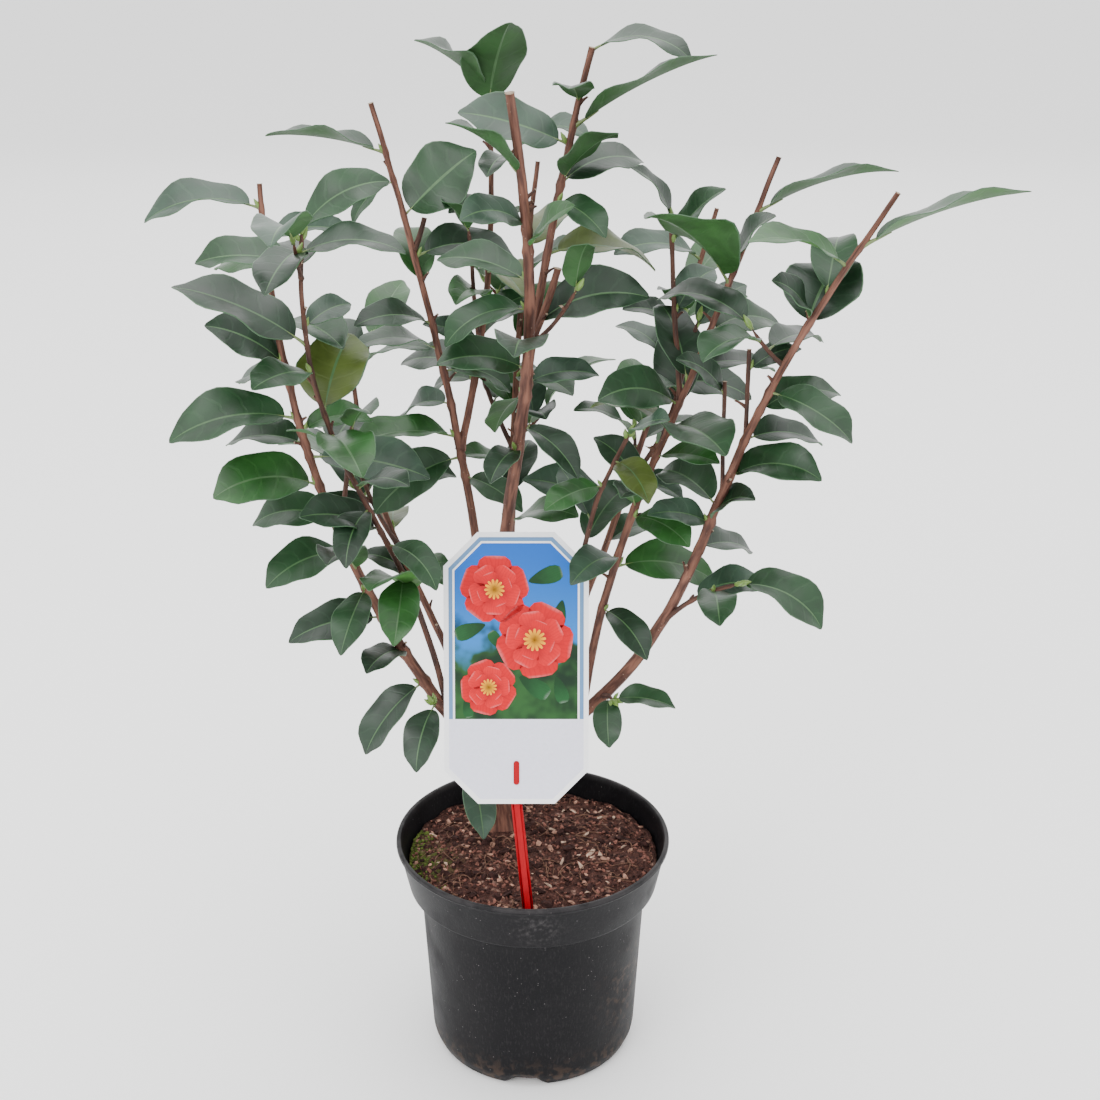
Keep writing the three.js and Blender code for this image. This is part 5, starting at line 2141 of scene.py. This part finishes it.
@dataclass
class Label:
    """A card with cut corners, printed with blossoms, and slotted on a ribbed stem."""

    foot: Vector = Vector((-0.5, -80, 130))
    lean: float = 17.0
    tilt: float = -6.0
    width: float = 94.0
    height: float = 178.0
    corner: float = 22.0
    card: float = 1.0
    slot_up: float = 12.0
    slot_length: float = 17.0
    slot_width: float = 5.0
    stem_width: float = 7.0
    stem_depth: float = 3.2
    card_up: float = 90.0
    room: float = 8.0
    margin: float = 3.2
    border: float = 2.6
    line: float = 1.3
    panel_top: float = 56.0
    film: float = 0.06
    claim_step: float = 12.0
    stem_past: float = 6.0
    groove: tuple[float, float] = (1.5, 0.7)
    tongue_gap: float = 1.2

    def stem_place(self) -> Matrix:
        """The stem's own frame: X across the card and Z up along the stem.

        Returns:
            The frame's matrix.
        """
        lean = Matrix.Rotation(math.radians(-self.lean), 4, "X")
        tilt = Matrix.Rotation(math.radians(self.tilt), 4, "Y")
        return Matrix.Translation(self.foot) @ lean @ tilt

    def card_place(self) -> Matrix:
        """The card's frame, which stands straight although its stem leans to the side."""
        level = Matrix.Rotation(math.radians(-self.tilt), 4, "Y")
        return self.stem_place() @ Matrix.Translation((0, 0, self.card_up)) @ level

    def claimed(self) -> list[Vector]:
        """The points that the leaves keep clear of.

        Returns:
            Points spread over the card.
        """
        step, half, place = self.claim_step, self.width / 2, self.card_place()
        across = np.arange(-half, half + 0.01, step)
        up = np.arange(0, self.height + 0.01, step)
        return [place @ Vector((x, 0, z)) for x in across for z in up]

    def octagon(self, bm: bmesh.types.BMesh, inset: float) -> bmesh.types.BMFace:
        """Adds the card's outline as one face, drawn in by inset.

        Args:
            bm: The mesh to add to.
            inset: How far inside the card it lies.

        Returns:
            The face.
        """
        side, top = self.width / 2 - inset, self.height - inset
        cut = self.corner - inset * (2 - math.sqrt(2))
        corners = [
            (-side + cut, inset), (side - cut, inset), (side, inset + cut), (side, top - cut),
            (side - cut, top), (-side + cut, top), (-side, top - cut), (-side, inset + cut),
        ]
        return bm.faces.new([bm.verts.new((x, 0, z)) for x, z in corners])

    def place_film(self, bm: bmesh.types.BMesh, layer: int) -> None:
        """Gives a flat print its thickness and lays it on the card, layer by layer.

        Args:
            bm: The flat print.
            layer: How many films lie below it.
        """
        bmesh.ops.recalc_face_normals(bm, faces=bm.faces)
        for face in bm.faces:
            if face.normal.y > 0:
                face.normal_flip()
        bmesh.ops.solidify(bm, geom=list(bm.faces), thickness=self.film)
        lift = Matrix.Translation((0, -self.card - self.film * (layer + 1.2), 0))
        bmesh.ops.transform(bm, matrix=self.card_place() @ lift, verts=bm.verts)

    def face_print(self) -> None:
        """Makes the border, the line inside it, the picture's ground and the bare panel below."""
        bm = bmesh.new()
        field_face = self.octagon(bm, self.margin)
        field_face.material_index = Ink.BORDER.value
        bm.normal_update()
        for width, inner in ((self.border, Ink.LINE), (self.line, Ink.PICTURE)):
            bmesh.ops.inset_region(
                bm, faces=[field_face], thickness=width, use_boundary=True, use_even_offset=True
            )
            field_face.material_index = inner.value
        everything = [*bm.verts, *bm.edges, *bm.faces]
        boundary = Vector((0, 0, self.panel_top))
        bmesh.ops.bisect_plane(bm, geom=everything, plane_co=boundary, plane_no=UP, dist=1e-4)
        for face in bm.faces:
            if face.calc_center_median().z < self.panel_top:
                face.material_index = Ink.PANEL.value
        self.place_film(bm, 0)
        place = self.card_place()
        low_z = (place @ Vector((0, 0, self.panel_top))).z * MM
        high_z = (place @ Vector((0, 0, self.height))).z * MM
        inks = [
            Print("border_ink", (0.12, 0.24, 0.43)).material(),
            Print("line_ink", (0.88, 0.89, 0.92)).material(),
            Print("panel_ink", (0.76, 0.76, 0.87), 0.07, 2.2).material(),
            PrintedSky("picture_ink", low_z, high_z).material(),
        ]
        piece(bm, "label_print", inks, smooth_faces=False)

    def petal_ring(
        self, bm: bmesh.types.BMesh, middle: tuple[float, float], size: float, start: float,
        count: int, width: float,
    ) -> None:
        """Adds one ring of flat round petals.

        Args:
            bm: The mesh to add to.
            middle: The blossom's middle on the card.
            size: How far the petals reach.
            start: The first petal's angle.
            count: How many there are.
            width: A petal's half-width as a share of its length.
        """
        for i in range(count):
            angle = start + i * math.tau / count
            made = bmesh.ops.create_circle(
                bm, cap_ends=True, segments=18, radius=1, calc_uvs=True
            )["verts"]
            for vert in made:
                out = (vert.co.x + 1) / 2
                wide = vert.co.y * width * (0.45 + 0.75 * out - 0.12 * bump_at(out, 1, 0.12))
                notch = 0.08 * bump_at(vert.co.y, 0, 0.25) * (out > 0.8)
                x, z = size * (out - notch), size * wide * 0.9
                turned = Matrix.Rotation(angle, 2) @ Vector((x, z))
                vert.co = Vector((middle[0] + turned.x, 0, middle[1] + turned.y))

    def blossoms(self) -> None:
        """Makes the picture's motif: small open blossoms in a slanting row, with leaves."""
        flowers = (((-14, 141), 23.0, 0.3), ((12, 108), 26.0, 1.1), ((-18, 77), 19.0, 0.7))
        leaves = (
            ((8, 146), 24.0, 0.3), ((30, 134), 20.0, 4.5), ((-20, 118), 22.0, 3.5),
            ((2, 84), 24.0, 5.7), ((-33, 70), 14.0, 4.9), ((26, 84), 19.0, 5.0),
            ((-8, 101), 16.0, 2.2),
        )
        # Name, colour, motifs, petals in a ring, turn, share of the motif's size, petals' width.
        layers = (
            ("printed_leaves", (0.012, 0.075, 0.02), leaves, 1, 0.0, 1.0, 0.3),
            ("printed_shadows", (0.42, 0.008, 0.012), flowers, 10, 0.3, 0.84, 0.4),
            ("printed_petals", (0.52, 0.003, 0.009), flowers, 5, 0.0, 1.0, 0.6),
            ("printed_inner_petals", (0.6, 0.008, 0.014), flowers, 5, 0.62, 0.76, 0.54),
            ("printed_small_petals", (0.56, 0.005, 0.011), flowers, 4, 0.1, 0.52, 0.56),
            ("printed_stamens", (0.8, 0.33, 0.002), flowers, 13, 0.0, 0.3, 0.16),
        )
        for layer, (name, colour, motifs, count, turn, share, width) in enumerate(layers, 1):
            bm = bmesh.new()
            bm.loops.layers.uv.new("own")
            for middle, size, start in motifs:
                self.petal_ring(bm, middle, size * share, start + turn, count, width)
            self.place_film(bm, layer)
            piece(bm, name, [Petal(name, colour).material()], smooth_faces=False)

    def stem(self) -> None:
        """Makes the ribbed stem, with the tongue that shows in the card's slot."""
        bm = bmesh.new()
        reach = self.card_up + self.slot_up + self.slot_length + self.stem_past
        behind = self.stem_depth / 2 + 0.3
        made = bmesh.ops.create_cube(bm, size=1)["verts"]
        bmesh.ops.scale(bm, vec=Vector((self.stem_width, self.stem_depth, reach)), verts=made)
        bmesh.ops.translate(bm, vec=Vector((0, behind, reach / 2)), verts=made)
        bevel(bm, [edge for edge in bm.edges if reach_along(edge, 2) > 1], 0.9, 3)
        wide, deep = self.groove
        for face in [face for face in bm.faces if abs(face.normal.y) > 0.9]:
            bmesh.ops.inset_individual(bm, faces=[face], thickness=wide, depth=-deep)
        bevel(bm, [edge for edge in bm.edges if reach_along(edge, 2) < 1e-3], 0.25, 2)
        bmesh.ops.transform(bm, matrix=self.stem_place(), verts=bm.verts)
        red = GlossPlastic("label_stem_red", (0.35, 0.0002, 0.006)).material()
        piece(bm, "label_stick", [red], ["label_stem"])
        bm = bmesh.new()
        bmesh.ops.create_cube(bm, size=1)
        width, length = self.slot_width - self.tongue_gap, self.slot_length - self.tongue_gap
        bmesh.ops.scale(bm, vec=Vector((width, self.card * 2.2, length)), verts=bm.verts)
        bevel(bm, [edge for edge in bm.edges if reach_along(edge, 1) > 1e-3], width * 0.46, 6)
        bevel(bm, [edge for edge in bm.edges if reach_along(edge, 1) < 1e-3], 0.3, 2)
        middle = Vector((0, -self.card * 0.7, self.slot_up + self.slot_length / 2))
        bmesh.ops.translate(bm, vec=middle, verts=bm.verts)
        bmesh.ops.transform(bm, matrix=self.card_place(), verts=bm.verts)
        piece(bm, "label_tongue", [red])

    def build(self) -> None:
        """Makes the print and the stem, and dresses the card's own solid."""
        self.face_print()
        self.blossoms()
        self.stem()
        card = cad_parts["label_card"]
        card.data.materials.clear()
        card.data.materials.append(Print("card_white", (0.92, 0.92, 0.94), 0.03).material())


# ---- Studio ----

@dataclass(frozen=True)
class Lamp:
    """A soft square light that looks at the shrub's middle."""

    name: str
    place: Vector
    size: float
    watts: float


@dataclass(frozen=True)
class Studio:
    """The camera, the soft lights and the pale floor, in metres."""

    eye: Vector = Vector((0.012, -1.0, 0.774))
    pitch: float = 21.87
    lens: float = 54.33
    sensor: float = 36.0
    floor: float = 60.0
    middle: Vector = Vector((0, 0, 0.38))
    glow: float = 1.75
    lamps: tuple[Lamp, ...] = (
        Lamp("sky_light", Vector((0.0, 0.2, 2.9)), 2.8, 60.0),
        Lamp("back_light", Vector((0.0, 3.0, 2.3)), 3.4, 30.0),
        Lamp("key_light", Vector((-1.4, -2.0, 1.9)), 1.6, 34.0),
    )

    def build(self) -> None:
        """Makes the camera, the lights, the glow of the room and the floor."""
        scene = bpy.context.scene
        camera = linked("camera", bpy.data.cameras.new("camera"))
        camera.data.lens = self.lens
        camera.data.sensor_width = self.sensor
        camera.location = self.eye
        camera.rotation_euler = (math.radians(90 - self.pitch), 0, 0)
        scene.camera = camera
        for lamp in self.lamps:
            light = bpy.data.lights.new(lamp.name, "AREA")
            light.shape = "SQUARE"
            light.size = lamp.size
            light.energy = lamp.watts
            holder = linked(lamp.name, light)
            holder.location = lamp.place
            holder.rotation_euler = (self.middle - lamp.place).to_track_quat("-Z", "Y").to_euler()
        world = bpy.data.worlds.new("room")
        world.use_nodes = True
        room = world.node_tree.nodes["Background"]
        room.inputs["Color"].default_value = (1, 1, 1, 1)
        room.inputs["Strength"].default_value = self.glow
        scene.world = world
        bm = bmesh.new()
        bmesh.ops.create_grid(bm, x_segments=1, y_segments=1, size=self.floor / 2)
        floor = linked("studio_floor", mesh_of(bm, "studio_floor", [Paper().material()]))


def main() -> None:
    """Builds the studio, the pot, the label and the shrub, and notes the sizes."""
    logging.basicConfig(level=logging.INFO, format="%(name)s %(message)s")
    Studio().build()
    pot = Pot()
    pot.build()
    CompostBed(pot).build()
    label = Label()
    label.build()
    place_stems(STEMS)
    masses = Grower(Rule(), STEMS, label).grow()
    log.info("%d leaves", sum(len(mass.leaves) for mass in masses))
    limbs = Limbs()
    limbs.build(masses)
    Foliage().build(masses, limbs)
    for name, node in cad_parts.items():
        log.info("%s shown: %s", name, not node.hide_render)


if __name__ == "__main__":
    main()
